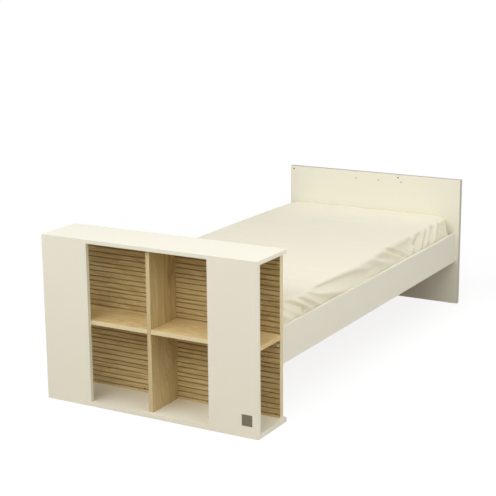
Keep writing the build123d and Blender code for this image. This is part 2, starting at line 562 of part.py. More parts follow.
cam_planes = []
for level, outward in ((BOTTOM_TOP_Z, DOWN), (TOP_UNDER_Z, UP)):
    cam_z = level - outward[2] * CAM_DISTANCE
    pockets = [((x, FRONT_PANEL_BACK_Y, cam_z), TO_HEAD) for x, _, _ in front_cams[level]]
    pockets += [((-BOARD / 2, y, cam_z), (-1, 0, 0)) for _, y, _ in divider_cams[level]]
    pockets += [((x, BOOKCASE_BACK_Y, cam_z), TO_HEAD) for x, _, _ in foot_cams[level]]
    cam_planes += [cam_plane(point, pocket_outward, outward) for point, pocket_outward in pockets]
for side, _ in SIDES:
    cam_planes += [cam_plane((side * (x + CAM_DISTANCE), y, SHELF_BOTTOM), DOWN, (-side, 0, 0))
                   for x, y, _ in shelf_to_divider_cams]

with BuildPart() as cam_locks:
    lock_height = CAM_DEPTH - CAM_CLEARANCE
    with Locations(*cam_planes):
        with Locations((0, 0, -lock_height / 2)):
            Cylinder(CAM_RADIUS, lock_height)
        with Locations((CAM_RADIUS / 2, 0, -BOARD / 2)):
            Box(CAM_RADIUS + CAM_CHANNEL_REACH, CAM_CHANNEL, CAM_CHANNEL, mode=Mode.SUBTRACT)
        with Locations((0, 0, -CAM_CROSS_DEPTH / 2)):
            Box(CAM_CROSS_LENGTH, CAM_CROSS_WIDTH, CAM_CROSS_DEPTH, mode=Mode.SUBTRACT)
            Box(CAM_CROSS_WIDTH, CAM_CROSS_LENGTH, CAM_CROSS_DEPTH, mode=Mode.SUBTRACT)
keep(cam_locks, "cam_locks")


def cam_bolt_half(points, axis):
    """Adds bolt shanks, necks and heads from the meeting plane to the cam."""
    neck_start = CAM_DISTANCE - CAM_BOLT_HEAD
    neck_end = CAM_DISTANCE - CAM_BOLT_TIP
    rods(points, axis, CAM_BOLT_RADIUS, 0, neck_start)
    rods(points, axis, CAM_BOLT_NECK, neck_start, neck_end)
    rods(points, axis, CAM_BOLT_RADIUS, neck_end, CAM_DISTANCE)


with BuildPart() as cam_bolts:
    for level, into_edge in ((BOTTOM_TOP_Z, UP), (TOP_UNDER_Z, DOWN)):
        for points in (front_cams[level], divider_cams[level], foot_cams[level]):
            rods(points, into_edge, CAM_BOLT_RADIUS, -CAM_BOLT_THREAD, 0)
            cam_bolt_half(points, into_edge)
    rods(shelf_to_divider_cams, (1, 0, 0), CAM_BOLT_RADIUS, -BOARD, 0)
    cam_bolt_half(shelf_to_divider_cams, (1, 0, 0))
    cam_bolt_half([(-x, y, z) for x, y, z in shelf_to_divider_cams], (-1, 0, 0))
keep(cam_bolts, "cam_bolts")

with BuildPart() as bookcase_dowels:
    for level, into_edge in ((BOTTOM_TOP_Z, UP), (TOP_UNDER_Z, DOWN)):
        for points in (front_dowels[level], divider_dowels[level], foot_dowels[level]):
            rods(points, into_edge, DOWEL_RADIUS, -PANEL_DOWEL_DEPTH, DOWEL_IN_EDGE)
    for side, _ in SIDES:
        rods([(side * x, y, z) for x, y, z in shelf_to_divider_dowels], (side, 0, 0),
             DOWEL_RADIUS, -DIVIDER_DOWEL_DEPTH, DOWEL_LENGTH - DIVIDER_DOWEL_DEPTH)
    rods(both_sides(shelf_to_front_dowels), TO_HEAD, DOWEL_RADIUS, -PANEL_DOWEL_DEPTH, DOWEL_IN_EDGE)
    rods(both_sides(shelf_to_foot_dowels), TO_HEAD,
         DOWEL_RADIUS, FOOT_DOWEL_DEPTH - DOWEL_LENGTH, FOOT_DOWEL_DEPTH)
    chamfer(bookcase_dowels.edges().filter_by(GeomType.CIRCLE), length=DOWEL_CHAMFER)
keep(bookcase_dowels, "bookcase_dowels")


def glides(points, radius):
    """Adds nail-in glides: a disc on the floor with a pin that goes up."""
    rods(points, DOWN, radius, 0, GLIDE_HEIGHT)
    fillet(edges().filter_by(GeomType.CIRCLE).group_by(Axis.Z)[0], radius=GLIDE_EDGE_RADIUS)
    rods(points, UP, GLIDE_PIN_RADIUS, 0, GLIDE_PIN_LENGTH)


with BuildPart() as bookcase_glides:
    glides(bookcase_glide_points, GLIDE_RADIUS)
keep(bookcase_glides, "bookcase_glides")

with BuildPart() as headboard_glides:
    glides(headboard_glide_points, HEADBOARD_GLIDE_RADIUS)
keep(headboard_glides, "headboard_glides")


def caps(points):
    """Adds push-in caps that look towards the foot of the bed."""
    rods(points, TO_FOOT, CAP_RADIUS, 0, CAP_HEAD)
    fillet(edges().filter_by(GeomType.CIRCLE).group_by(Axis.Y)[0], radius=CAP_EDGE_RADIUS)
    rods(points, TO_HEAD, CAP_SHANK_RADIUS, 0, CAP_SHANK)


with BuildPart() as footboard_caps:
    caps(foot_caps)
keep(footboard_caps, "footboard_caps")

with BuildPart() as headboard_caps:
    caps(head_caps)
keep(headboard_caps, "headboard_caps")

# Fastenings of the rails and the slatted base
with BuildPart() as rail_dowels:
    rods(foot_rail_dowels, TO_HEAD, DOWEL_RADIUS, -PANEL_DOWEL_DEPTH, DOWEL_IN_EDGE)
    rods(head_rail_dowels, TO_FOOT, DOWEL_RADIUS, -PANEL_DOWEL_DEPTH, DOWEL_IN_EDGE)
    chamfer(rail_dowels.edges().filter_by(GeomType.CIRCLE), length=DOWEL_CHAMFER)
keep(rail_dowels, "rail_dowels")

with BuildPart() as rail_brackets:
    for side, _ in SIDES:
        for end_y, along in ((BOOKCASE_BACK_Y, 1), (HEAD_FACE_Y, -1)):
            corner_x = side * RAIL_INNER_X
            arm_x = corner_x - side * BRACKET_END_ARM
            inner_x = corner_x - side * BRACKET_THICKNESS
            inner_y = end_y + along * BRACKET_THICKNESS
            arm_y = end_y + along * BRACKET_RAIL_ARM
            with BuildSketch(Plane.XY.offset(BRACKET_BOTTOM)):
                with BuildLine():
                    Polyline((corner_x, end_y), (corner_x, arm_y), (inner_x, arm_y), (inner_x, inner_y),
                             (arm_x, inner_y), (arm_x, end_y), close=True)
                make_face()
            extrude(amount=BRACKET_HEIGHT)
    thickness_edges = rail_brackets.edges().filter_by(lambda edge: abs(edge.length - BRACKET_THICKNESS) < 0.1)
    fillet(thickness_edges, radius=BRACKET_CORNER_RADIUS)
    for side, _ in SIDES:
        drill([(side * (x - BRACKET_THICKNESS), y, z) for x, y, z in rail_bracket_bolts], (-side, 0, 0),
              BRACKET_HOLE, BRACKET_THICKNESS)
    for points, outward in ((foot_bracket_bolts, TO_HEAD), (head_bracket_bolts, TO_FOOT)):
        drill([(x, y + outward[1] * BRACKET_THICKNESS, z) for x, y, z in points], outward,
              BRACKET_HOLE, BRACKET_THICKNESS)
keep(rail_brackets, "rail_brackets")

# Each bracket bolt: points on the wood, and the axis that goes into it
bracket_bolt_groups = [(foot_bracket_bolts, TO_FOOT), (head_bracket_bolts, TO_HEAD)]
bracket_bolt_groups += [([(side * x, y, z) for x, y, z in rail_bracket_bolts], (side, 0, 0))
                        for side, _ in SIDES]

with BuildPart() as bracket_bolts:
    for points, axis in bracket_bolt_groups:
        rods(points, axis, BOLT_RADIUS, -BRACKET_THICKNESS, BOLT_LENGTH - BRACKET_THICKNESS)
        rods(points, axis, BOLT_HEAD_RADIUS, -BRACKET_THICKNESS - BOLT_HEAD_HEIGHT, -BRACKET_THICKNESS)
        for point in points:
            with BuildSketch(Plane(origin=point, z_dir=axis).offset(-BRACKET_THICKNESS - BOLT_HEAD_HEIGHT)):
                RegularPolygon(BOLT_SOCKET_RADIUS, 6)
            extrude(amount=BOLT_SOCKET_DEPTH, mode=Mode.SUBTRACT)
keep(bracket_bolts, "bracket_bolts")

with BuildPart() as threaded_inserts:
    for points, axis in bracket_bolt_groups:
        rods(points, axis, INSERT_RADIUS, 0, INSERT_LENGTH)
        drill(points, tuple(-part for part in axis), INSERT_BORE, INSERT_LENGTH)
keep(threaded_inserts, "threaded_inserts")


def countersunk_screws(planes, length):
    """Adds cross-head screws whose planes lie on the wood and look outward."""
    with Locations(*planes):
        with Locations((0, 0, -length / 2)):
            Cylinder(SCREW_RADIUS, length)
        with Locations((0, 0, -SCREW_HEAD_HEIGHT / 2)):
            Cone(SCREW_RADIUS, SCREW_HEAD_RADIUS, SCREW_HEAD_HEIGHT)
        with Locations((0, 0, -SCREW_CROSS_DEPTH / 2)):
            Box(SCREW_CROSS_LENGTH, SCREW_CROSS_WIDTH, SCREW_CROSS_DEPTH, mode=Mode.SUBTRACT)
            Box(SCREW_CROSS_WIDTH, SCREW_CROSS_LENGTH, SCREW_CROSS_DEPTH, mode=Mode.SUBTRACT)


with BuildPart() as ledger_screws:
    countersunk_screws([Plane(origin=(side * LEDGER_INNER_X, y, LEDGER_MIDDLE_Z), z_dir=(-side, 0, 0))
                        for side, _ in SIDES for y in ledger_screw_ys], LEDGER_SCREW_LENGTH)
keep(ledger_screws, "ledger_screws")

with BuildPart() as end_slat_screws_group:
    countersunk_screws([Plane(origin=point, z_dir=UP) for point in end_slat_screws], END_SLAT_SCREW_LENGTH)
keep(end_slat_screws_group, "end_slat_screws")

with BuildPart() as webbing_tacks:
    tack_points = [(side * WEBBING_X, y, LEDGER_TOP - WEBBING_THICKNESS) for side, _ in SIDES for y in slat_ys]
    rods(tack_points, UP, TACK_HEAD_RADIUS, -TACK_HEAD, 0)
    rods(tack_points, UP, TACK_RADIUS, 0, TACK_LENGTH)
keep(webbing_tacks, "webbing_tacks")

# Mattress: rounded corners, sides drawn in between top and bottom, a crown on top
def mattress_outline(inset, spread=0, lean=0, grow=0):
    """Draws the mattress's outline from above, grown all round by the cloth around it."""
    width = MATTRESS_WIDTH - 2 * inset + 2 * spread + 2 * grow
    length = MATTRESS_LENGTH - 2 * inset + 2 * grow
    with Locations((-lean, MATTRESS_MIDDLE_Y)):
        RectangleRounded(width, length, MATTRESS_CORNER + grow)


with BuildPart() as mattress_core:
    for rise, inset, spread, lean in MATTRESS_PROFILE:
        with BuildSketch(Plane.XY.offset(SLAT_TOP + rise)):
            mattress_outline(inset, spread, lean)
    loft(ruled=True)
    with BuildSketch(Plane.XY.offset(SLAT_TOP)):
        mattress_outline(CORE_PAD_INSET)
    extrude(amount=MATTRESS_PROFILE[0][0])
keep(mattress_core, "mattress_core")


# Fitted sheet: a cloth over the core with its elastic hem drawn in underneath.
# Its main folds are low ridges, lofted from a thin start over the middle to a
# thin end.
def ridge_sections(plane, length, half_width, height):
    """Yields the plane and size of a ridge's start, middle and end, along the plane's z."""
    for offset, scale in ((-length / 2, RIDGE_END_SCALE), (0, 1), (length / 2, RIDGE_END_SCALE)):
        yield plane.offset(offset), half_width * scale, height * scale


def sheet_level(rise, inset, grow):
    """Height of an outline: the crown rises with the cloth, the sides don't."""
    return SLAT_TOP + rise + (grow if inset > CROWN_INSET else 0)


sheet_grow = SHEET_GAP + SHEET_THICKNESS
foot_end_y = MATTRESS_MIDDLE_Y - MATTRESS_LENGTH / 2
_, _, side_spread, side_lean = MATTRESS_PROFILE[PLEAT_OUTLINE]
side_face_x = MATTRESS_WIDTH / 2 + side_spread - side_lean + sheet_grow
top_face_z = SLAT_TOP + MATTRESS_THICKNESS + sheet_grow
ridges = []
for distance, lean, length, height in SIDE_PLEATS:
    pleat_middle = (side_face_x, foot_end_y + distance, SLAT_TOP + PLEAT_RISE)
    pleat_plane = Plane(origin=pleat_middle, x_dir=(0, -1, 0), z_dir=(0, -lean, length))
    ridges.append((pleat_plane, length, PLEAT_HALF_WIDTH, height))
for distance, middle_x, length, height in TOP_CREASES:
    crease_middle = (middle_x, foot_end_y + distance, top_face_z)
    crease_plane = Plane(origin=crease_middle, x_dir=(0, 1, 0), z_dir=(1, 0, 0))
    ridges.append((crease_plane, length, CREASE_HALF_WIDTH, height))

with BuildPart() as fitted_sheet:
    for index, (rise, inset, spread, lean) in enumerate(MATTRESS_PROFILE):
        level = sheet_level(rise, inset, sheet_grow) if index else SLAT_TOP
        with BuildSketch(Plane.XY.offset(level)):
            mattress_outline(inset, spread, lean, sheet_grow)
    loft(ruled=True)
    for ridge_plane, length, half_width, height in ridges:
        for section_plane, end_x, rise in ridge_sections(ridge_plane, length, half_width, height):
            with BuildSketch(section_plane):
                with BuildLine():
                    ThreePointArc((-end_x, -RIDGE_SINK), (0, rise), (end_x, -RIDGE_SINK))
                    Line((end_x, -RIDGE_SINK), (-end_x, -RIDGE_SINK))
                make_face()
        loft(ruled=True)
    for rise, inset, spread, lean in MATTRESS_PROFILE:
        with BuildSketch(Plane.XY.offset(sheet_level(rise, inset, SHEET_GAP))):
            mattress_outline(inset, spread, lean, SHEET_GAP)
    loft(ruled=True, mode=Mode.SUBTRACT)
    with BuildSketch(Plane.XY.offset(SLAT_TOP)):
        mattress_outline(SHEET_LIP)
    extrude(amount=MATTRESS_PROFILE[0][0] + SHEET_GAP, mode=Mode.SUBTRACT)
keep(fitted_sheet, "fitted_sheet")
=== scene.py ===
import math
import random

import bpy
import numpy as np
from mathutils import Matrix, Vector, noise


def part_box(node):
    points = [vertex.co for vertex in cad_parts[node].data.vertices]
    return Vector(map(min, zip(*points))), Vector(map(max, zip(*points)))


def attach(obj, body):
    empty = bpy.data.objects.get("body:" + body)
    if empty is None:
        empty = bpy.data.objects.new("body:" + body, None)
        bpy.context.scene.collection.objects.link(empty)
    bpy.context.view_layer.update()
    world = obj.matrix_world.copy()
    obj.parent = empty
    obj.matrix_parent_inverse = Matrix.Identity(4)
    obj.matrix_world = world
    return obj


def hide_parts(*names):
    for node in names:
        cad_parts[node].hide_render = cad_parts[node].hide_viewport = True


bl_info = {
    "name": "Convertible Crib",
    "version": (1, 0, 0),
    "blender": (4, 5, 0),
    "location": "View3D > Sidebar > Crib",
    "description": "Finishes a convertible crib's boards and makes its mattress and fitted sheet",
    "category": "Object",
}

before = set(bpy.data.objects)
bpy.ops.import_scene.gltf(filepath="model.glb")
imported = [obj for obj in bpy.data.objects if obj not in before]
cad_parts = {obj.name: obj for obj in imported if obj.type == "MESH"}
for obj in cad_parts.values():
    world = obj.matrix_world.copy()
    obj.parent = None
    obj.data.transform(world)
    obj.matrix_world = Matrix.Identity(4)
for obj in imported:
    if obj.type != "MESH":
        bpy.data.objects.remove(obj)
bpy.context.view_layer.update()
BODY = "root"

# Where things are, read from the frame, in metres
core_low, core_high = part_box("mattress_core")
sheet_low, sheet_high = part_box("fitted_sheet")
rail_low, rail_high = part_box("right_side_rail")
headboard_inner, headboard_outer = (corner.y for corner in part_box("headboard_panel"))
facing_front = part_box("footboard_oak_facing")[0].y
head_facing_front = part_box("headboard_oak_facing")[1].y
slat_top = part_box("slat_01")[1].z
footboard_outer, footboard_inner = (corner.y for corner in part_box("footboard_panel"))
GROOVE_DEPTH = 0.0034
LAMINATE_DEPTH = 0.001

# Colours of the hidden board, the small fittings and the floor as the camera sees it
CHIPBOARD = (0.20, 0.14, 0.08)
OFF_WHITE = (0.80, 0.77, 0.68)
CAP_GREY = (0.58, 0.55, 0.49)
BRONZE = (0.17, 0.145, 0.105)
BEECH = ((0.62, 0.43, 0.25), (0.50, 0.32, 0.17))
TAPE = (0.72, 0.70, 0.64)
ZINC = (0.60, 0.61, 0.62)
BRASS = (0.62, 0.44, 0.18)
FLOOR_SEEN = (0.24, 0.24, 0.24, 1)
WHITE = (1, 1, 1, 1)

IVORY_NODES = ("bookcase_bottom_panel", "bookcase_top_panel", "bookcase_left_front_panel",
               "bookcase_right_front_panel", "left_side_rail", "right_side_rail")
SHELF_NODES = ("bookcase_left_shelf", "bookcase_right_shelf")
SLAT_NODES = tuple(sorted(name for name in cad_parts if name.startswith("slat_")))


class CribColours(bpy.types.PropertyGroup):
    """Colours of the crib's finishes."""

    ivory: bpy.props.FloatVectorProperty(
        name="Ivory laminate", description="Colour of the ivory boards", subtype="COLOR",
        default=(0.86, 0.83, 0.70), min=0, max=1)
    oak_light: bpy.props.FloatVectorProperty(
        name="Oak, light grain", description="Colour between the oak's grain lines", subtype="COLOR",
        default=(0.62, 0.48, 0.25), min=0, max=1)
    oak_dark: bpy.props.FloatVectorProperty(
        name="Oak, dark grain", description="Colour of the oak's grain lines", subtype="COLOR",
        default=(0.40, 0.285, 0.115), min=0, max=1)
    edge_band: bpy.props.FloatVectorProperty(
        name="Edge band", description="Colour of the light oak edge bands", subtype="COLOR",
        default=(0.80, 0.70, 0.45), min=0, max=1)
    # The headboard's edge bands are light oak. This greyer, darker tone is painted shade, standing in for the
    # shade on the headboard's edges.
    head_edge_band_painted_shade: bpy.props.FloatVectorProperty(
        name="Headboard's edge band", description="Colour of the grey oak bands round the headboard",
        subtype="COLOR", default=(0.62, 0.58, 0.50), min=0, max=1)
    sheet: bpy.props.FloatVectorProperty(
        name="Fitted sheet", description="Colour of the cream jersey", subtype="COLOR",
        default=(0.925, 0.875, 0.71), min=0, max=1)
    ticking: bpy.props.FloatVectorProperty(
        name="Mattress cover", description="Colour of the mattress's own cover", subtype="COLOR",
        default=(0.78, 0.77, 0.73), min=0, max=1)
    floor: bpy.props.FloatVectorProperty(
        name="Floor", description="Colour of the studio floor", subtype="COLOR",
        default=(0.61, 0.57, 0.50), min=0, max=1)


class CribSheetSizes(bpy.types.PropertyGroup):
    """Sizes of the fitted sheet."""

    cell: bpy.props.FloatProperty(
        name="Cell", description="Size of the cloth's cells near its edges", unit="LENGTH", default=0.006)
    middle_cell: bpy.props.FloatProperty(
        name="Middle cell", description="Width of the cloth's cells in the middle of the top", unit="LENGTH",
        default=0.018)
    edge_radius: bpy.props.FloatProperty(
        name="Edge radius", description="Roundness of the mattress's top edge", unit="LENGTH", default=0.016)
    corner_radius: bpy.props.FloatProperty(
        name="Corner radius", description="Roundness of the mattress seen from above", unit="LENGTH",
        default=0.05)
    hem_width: bpy.props.FloatProperty(
        name="Hem width", description="How far the sheet is drawn in under the mattress", unit="LENGTH",
        default=0.085)
    fold_depth: bpy.props.FloatProperty(
        name="Fold depth", description="How deep the folds of the sides are, as a share", default=1.8)
    crown: bpy.props.FloatProperty(
        name="Crown", description="How far the middle of the top swells", unit="LENGTH", default=0.003)
    crease_height: bpy.props.FloatProperty(
        name="Crease height", description="Height of the faint creases across the top", unit="LENGTH",
        default=0.0017)
    side_ripple: bpy.props.FloatProperty(
        name="Side ripple", description="Height of the soft ripple of the sides", unit="LENGTH",
        default=0.0012)
    gather_spacing: bpy.props.FloatProperty(
        name="Gather spacing", description="Distance between the gathers of the hem", unit="LENGTH",
        default=0.026)
    gather_depth: bpy.props.FloatProperty(
        name="Gather depth", description="Depth of the gathers of the hem", unit="LENGTH", default=0.0018)
    elastic_radius: bpy.props.FloatProperty(
        name="Elastic radius", description="Thickness of the gathered elastic hem", unit="LENGTH",
        default=0.0022)


class CribStage(bpy.types.PropertyGroup):
    """The camera, the lamps and the floor."""

    camera_place: bpy.props.FloatVectorProperty(
        name="Camera", description="Place of the camera", subtype="TRANSLATION", unit="LENGTH",
        default=(2.78687, -5.16591, 1.87475))
    camera_turn: bpy.props.FloatProperty(
        name="Turn", description="How far the camera turns to the left of the bed's length", subtype="ANGLE",
        default=math.radians(29.657))
    camera_tilt: bpy.props.FloatProperty(
        name="Tilt", description="How far the camera looks down", subtype="ANGLE",
        default=math.radians(13.473))
    camera_roll: bpy.props.FloatProperty(
        name="Roll", description="How far the camera leans to its right", subtype="ANGLE",
        default=math.radians(0.452))
    lens: bpy.props.FloatProperty(
        name="Lens", description="Focal length for a 36 mm sensor, in millimetres", default=95.455)
    sky_strength: bpy.props.FloatProperty(
        name="Room light", description="Strength of the even light from all round", default=0.02)
    floor_radius: bpy.props.FloatProperty(
        name="Floor radius", description="Radius of the studio floor", unit="LENGTH", default=60)


# Shader building
def add_node(tree, kind, inputs=None, **settings):
    """Adds a node with its settings, and its inputs as values or as sockets to link."""
    new = tree.nodes.new(kind)
    for name, value in settings.items():
        setattr(new, name, value)
    for name, value in (inputs or {}).items():
        if isinstance(value, bpy.types.NodeSocket):
            tree.links.new(value, new.inputs[name])
        else:
            new.inputs[name].default_value = value
    return new


def add_ramp(tree, factor, stops):
    """Adds a colour ramp with the given places and colours."""
    ramp = add_node(tree, "ShaderNodeValToRGB", {"Fac": factor})
    elements = ramp.color_ramp.elements
    while len(elements) < len(stops):
        elements.new(0.5)
    for element, (place, colour) in zip(elements, stops):
        element.position = place
        element.color = (*colour, 1)
    return ramp.outputs["Color"]


def mix_colours(tree, factor, first, second, blend="MIX"):
    """Mixes two colours."""
    mix = add_node(tree, "ShaderNodeMix", data_type="RGBA", blend_type=blend)
    for index, value in ((0, factor), (6, first), (7, second)):
        if isinstance(value, bpy.types.NodeSocket):
            tree.links.new(value, mix.inputs[index])
        elif index:
            mix.inputs[index].default_value = (*value[:3], 1)
        else:
            mix.inputs[index].default_value = value
    return mix.outputs[2]


def math_node(tree, operation, first, second=0.0):
    """Adds a Math node and returns its value."""
    return add_node(tree, "ShaderNodeMath", {0: first, 1: second}, operation=operation).outputs[0]


def scaled_vector(tree, vector, scale):
    """Scales coordinates along each axis."""
    return add_node(tree, "ShaderNodeMapping", {"Vector": vector, "Scale": scale}).outputs["Vector"]


def stretched_noise(tree, vector, scale, detail, roughness=0.5):
    """Adds noise that is stretched along each axis, and returns its value and its colour."""
    new = add_node(tree, "ShaderNodeTexNoise", {"Vector": scaled_vector(tree, vector, scale), "Scale": 1,
                                                "Detail": detail, "Roughness": roughness})
    return new.outputs["Fac"], new.outputs["Color"]


def times(tree, vector, share):
    """Multiplies a vector or a colour."""
    return add_node(tree, "ShaderNodeVectorMath", {0: vector, "Scale": share}, operation="SCALE").outputs[0]


def drifted(tree, colour, pattern, drift):
    """Makes a colour lighter and darker by a pattern around one half."""
    swing = math_node(tree, "SUBTRACT", pattern, 0.5)
    shade = math_node(tree, "ADD", math_node(tree, "MULTIPLY", swing, drift), 1.0)
    return times(tree, colour, shade)


def new_group(name, inputs, outputs):
    """Makes an empty node group with its sockets."""
    group = bpy.data.node_groups.new(name, "ShaderNodeTree")
    for label, kind, default in inputs:
        socket = group.interface.new_socket(label, in_out="INPUT", socket_type="NodeSocket" + kind)
        socket.default_value = default
    for label, kind in outputs:
        group.interface.new_socket(label, in_out="OUTPUT", socket_type="NodeSocket" + kind)
    start = group.nodes.new("NodeGroupInput")
    end = group.nodes.new("NodeGroupOutput")
    return group, start.outputs, end.inputs


def wood_grain_group():
    """Grain that runs along X: soft bands, fine streaks and short dark pores."""
    group, given, result = new_group(
        "Wood grain",
        (("Vector", "Vector", (0, 0, 0)), ("Light", "Color", (0.6, 0.45, 0.25, 1)),
         ("Dark", "Color", (0.4, 0.27, 0.12, 1)), ("Contrast", "Float", 1.0)),
        (("Color", "Color"), ("Height", "Float")))
    _, wander = stretched_noise(group, given["Vector"], (0.9, 7, 7), 3)
    bent = add_node(group, "ShaderNodeVectorMath",
                    {0: given["Vector"], 1: wander, 2: times(group, wander, 0.05)},
                    operation="MULTIPLY_ADD").outputs[0]
    bands, _ = stretched_noise(group, bent, (1.6, 42, 42), 4, roughness=0.55)
    streaks, _ = stretched_noise(group, bent, (6, 260, 260), 3)
    pores, _ = stretched_noise(group, given["Vector"], (38, 900, 900), 2)
    mixed = math_node(group, "ADD", math_node(group, "MULTIPLY", bands, 0.65),
                      math_node(group, "MULTIPLY", streaks, 0.35))
    spread = math_node(group, "MULTIPLY", math_node(group, "SUBTRACT", mixed, 0.5), given["Contrast"])
    grain = add_ramp(group, math_node(group, "ADD", spread, 0.5), ((0.36, (0, 0, 0)), (0.62, (1, 1, 1))))
    colour = mix_colours(group, grain, given["Dark"], given["Light"])
    pore_mask = add_ramp(group, pores, ((0.60, (0, 0, 0)), (0.70, (1, 1, 1))))
    pore_share = math_node(group, "MULTIPLY", pore_mask, 0.35)
    group.links.new(mix_colours(group, pore_share, colour, given["Dark"]), result["Color"])
    height = math_node(group, "SUBTRACT", math_node(group, "MULTIPLY", streaks, 0.4), pore_mask)
    group.links.new(height, result["Height"])
    return group


def fine_surface_group():
    """A fine pebble and a slow drift of colour and gloss, for laminate, plastic and metal."""
    group, given, result = new_group(
        "Fine surface",
        (("Vector", "Vector", (0, 0, 0)), ("Color", "Color", (0.8, 0.8, 0.8, 1)), ("Drift", "Float", 0.04),
         ("Roughness", "Float", 0.5), ("Pebble", "Float", 900.0)),
        (("Color", "Color"), ("Roughness", "Float"), ("Height", "Float")))
    slow = add_node(group, "ShaderNodeTexNoise", {"Vector": given["Vector"], "Scale": 3.5, "Detail": 2})
    group.links.new(drifted(group, given["Color"], slow.outputs["Fac"], given["Drift"]), result["Color"])
    pebble = add_node(group, "ShaderNodeTexNoise",
                      {"Vector": given["Vector"], "Scale": given["Pebble"], "Detail": 2})
    uneven = math_node(group, "MULTIPLY", math_node(group, "SUBTRACT", pebble.outputs["Fac"], 0.5), 0.12)
    rough = math_node(group, "ADD", given["Roughness"], uneven)
    group.links.new(rough, result["Roughness"])
    group.links.new(pebble.outputs["Fac"], result["Height"])
    return group


def cloth_weave_group():
    """Threads that cross at right angles, with slubs and a slow drift of colour."""
    group, given, result = new_group(
        "Cloth weave",
        (("Vector", "Vector", (0, 0, 0)), ("Color", "Color", (0.9, 0.86, 0.74, 1)),
         ("Threads", "Float", 700.0), ("Drift", "Float", 0.05)),
        (("Color", "Color"), ("Height", "Float")))
    waves = []
    for direction in ("X", "Y"):
        wave = add_node(group, "ShaderNodeTexWave",
                        {"Vector": given["Vector"], "Scale": given["Threads"], "Distortion": 0.6,
                         "Detail": 1}, bands_direction=direction)
        waves.append(wave.outputs["Fac"])
    threads = math_node(group, "MAXIMUM", *waves)
    slubs, _ = stretched_noise(group, given["Vector"], (30, 400, 400), 2)
    slow = add_node(group, "ShaderNodeTexNoise", {"Vector": given["Vector"], "Scale": 4.0, "Detail": 3})
    both = math_node(group, "ADD", math_node(group, "MULTIPLY", slow.outputs["Fac"], 0.8),
                     math_node(group, "MULTIPLY", slubs, 0.2))
    group.links.new(drifted(group, given["Color"], both, given["Drift"]), result["Color"])
    group.links.new(math_node(group, "ADD", threads, math_node(group, "MULTIPLY", slubs, 0.5)),
                    result["Height"])
    return group


def group_node(tree, name, build, inputs):
    """Places a shared node group, which is built the first time it is asked for."""
    group = bpy.data.node_groups.get(name) or build()
    new = tree.nodes.new("ShaderNodeGroup")
    new.node_tree = group
    for label, value in inputs.items():
        if isinstance(value, bpy.types.NodeSocket):
            tree.links.new(value, new.inputs[label])
        elif hasattr(value, "__len__"):
            new.inputs[label].default_value = (*value[:3], 1)
        else:
            new.inputs[label].default_value = value
    return new.outputs


def new_material(name):
    """Makes a material with a Principled shader, and returns it with its tree, shader and coordinates."""
    material = bpy.data.materials.new(name)
    material.use_nodes = True
    tree = material.node_tree
    shader = tree.nodes["Principled BSDF"]
    place = tree.nodes.new("ShaderNodeTexCoord")
    return material, tree, shader, place.outputs


def add_bump(tree, shader, height, strength, distance):
    """Feeds a height into the shader's normal."""
    bump = add_node(tree, "ShaderNodeBump", {"Height": height, "Strength": strength, "Distance": distance})
    tree.links.new(bump.outputs["Normal"], shader.inputs["Normal"])


def laminate(name, colour, roughness=0.42, drift=0.03, faces=None):
    """Smooth laminate on board. Faces are the places along Y of a drilled board's two faces, between
    which its bores show the brown chipboard."""
    material, tree, shader, place = new_material(name)
    surface = group_node(tree, "Fine surface", fine_surface_group,
                         {"Vector": place["Object"], "Color": colour, "Drift": drift, "Roughness": roughness})
    shown = surface["Color"]
    if faces:
        depth = add_node(tree, "ShaderNodeSeparateXYZ", {"Vector": place["Object"]}).outputs["Y"]
        past_first = math_node(tree, "GREATER_THAN", depth, faces[0] + LAMINATE_DEPTH)
        before_second = math_node(tree, "LESS_THAN", depth, faces[1] - LAMINATE_DEPTH)
        inside = math_node(tree, "MULTIPLY", past_first, before_second)
        shown = mix_colours(tree, inside, shown, CHIPBOARD)
    tree.links.new(shown, shader.inputs["Base Color"])
    tree.links.new(surface["Roughness"], shader.inputs["Roughness"])
    add_bump(tree, shader, surface["Height"], 0.12, 0.0002)
    shader.inputs["Specular IOR Level"].default_value = 0.35
    return material


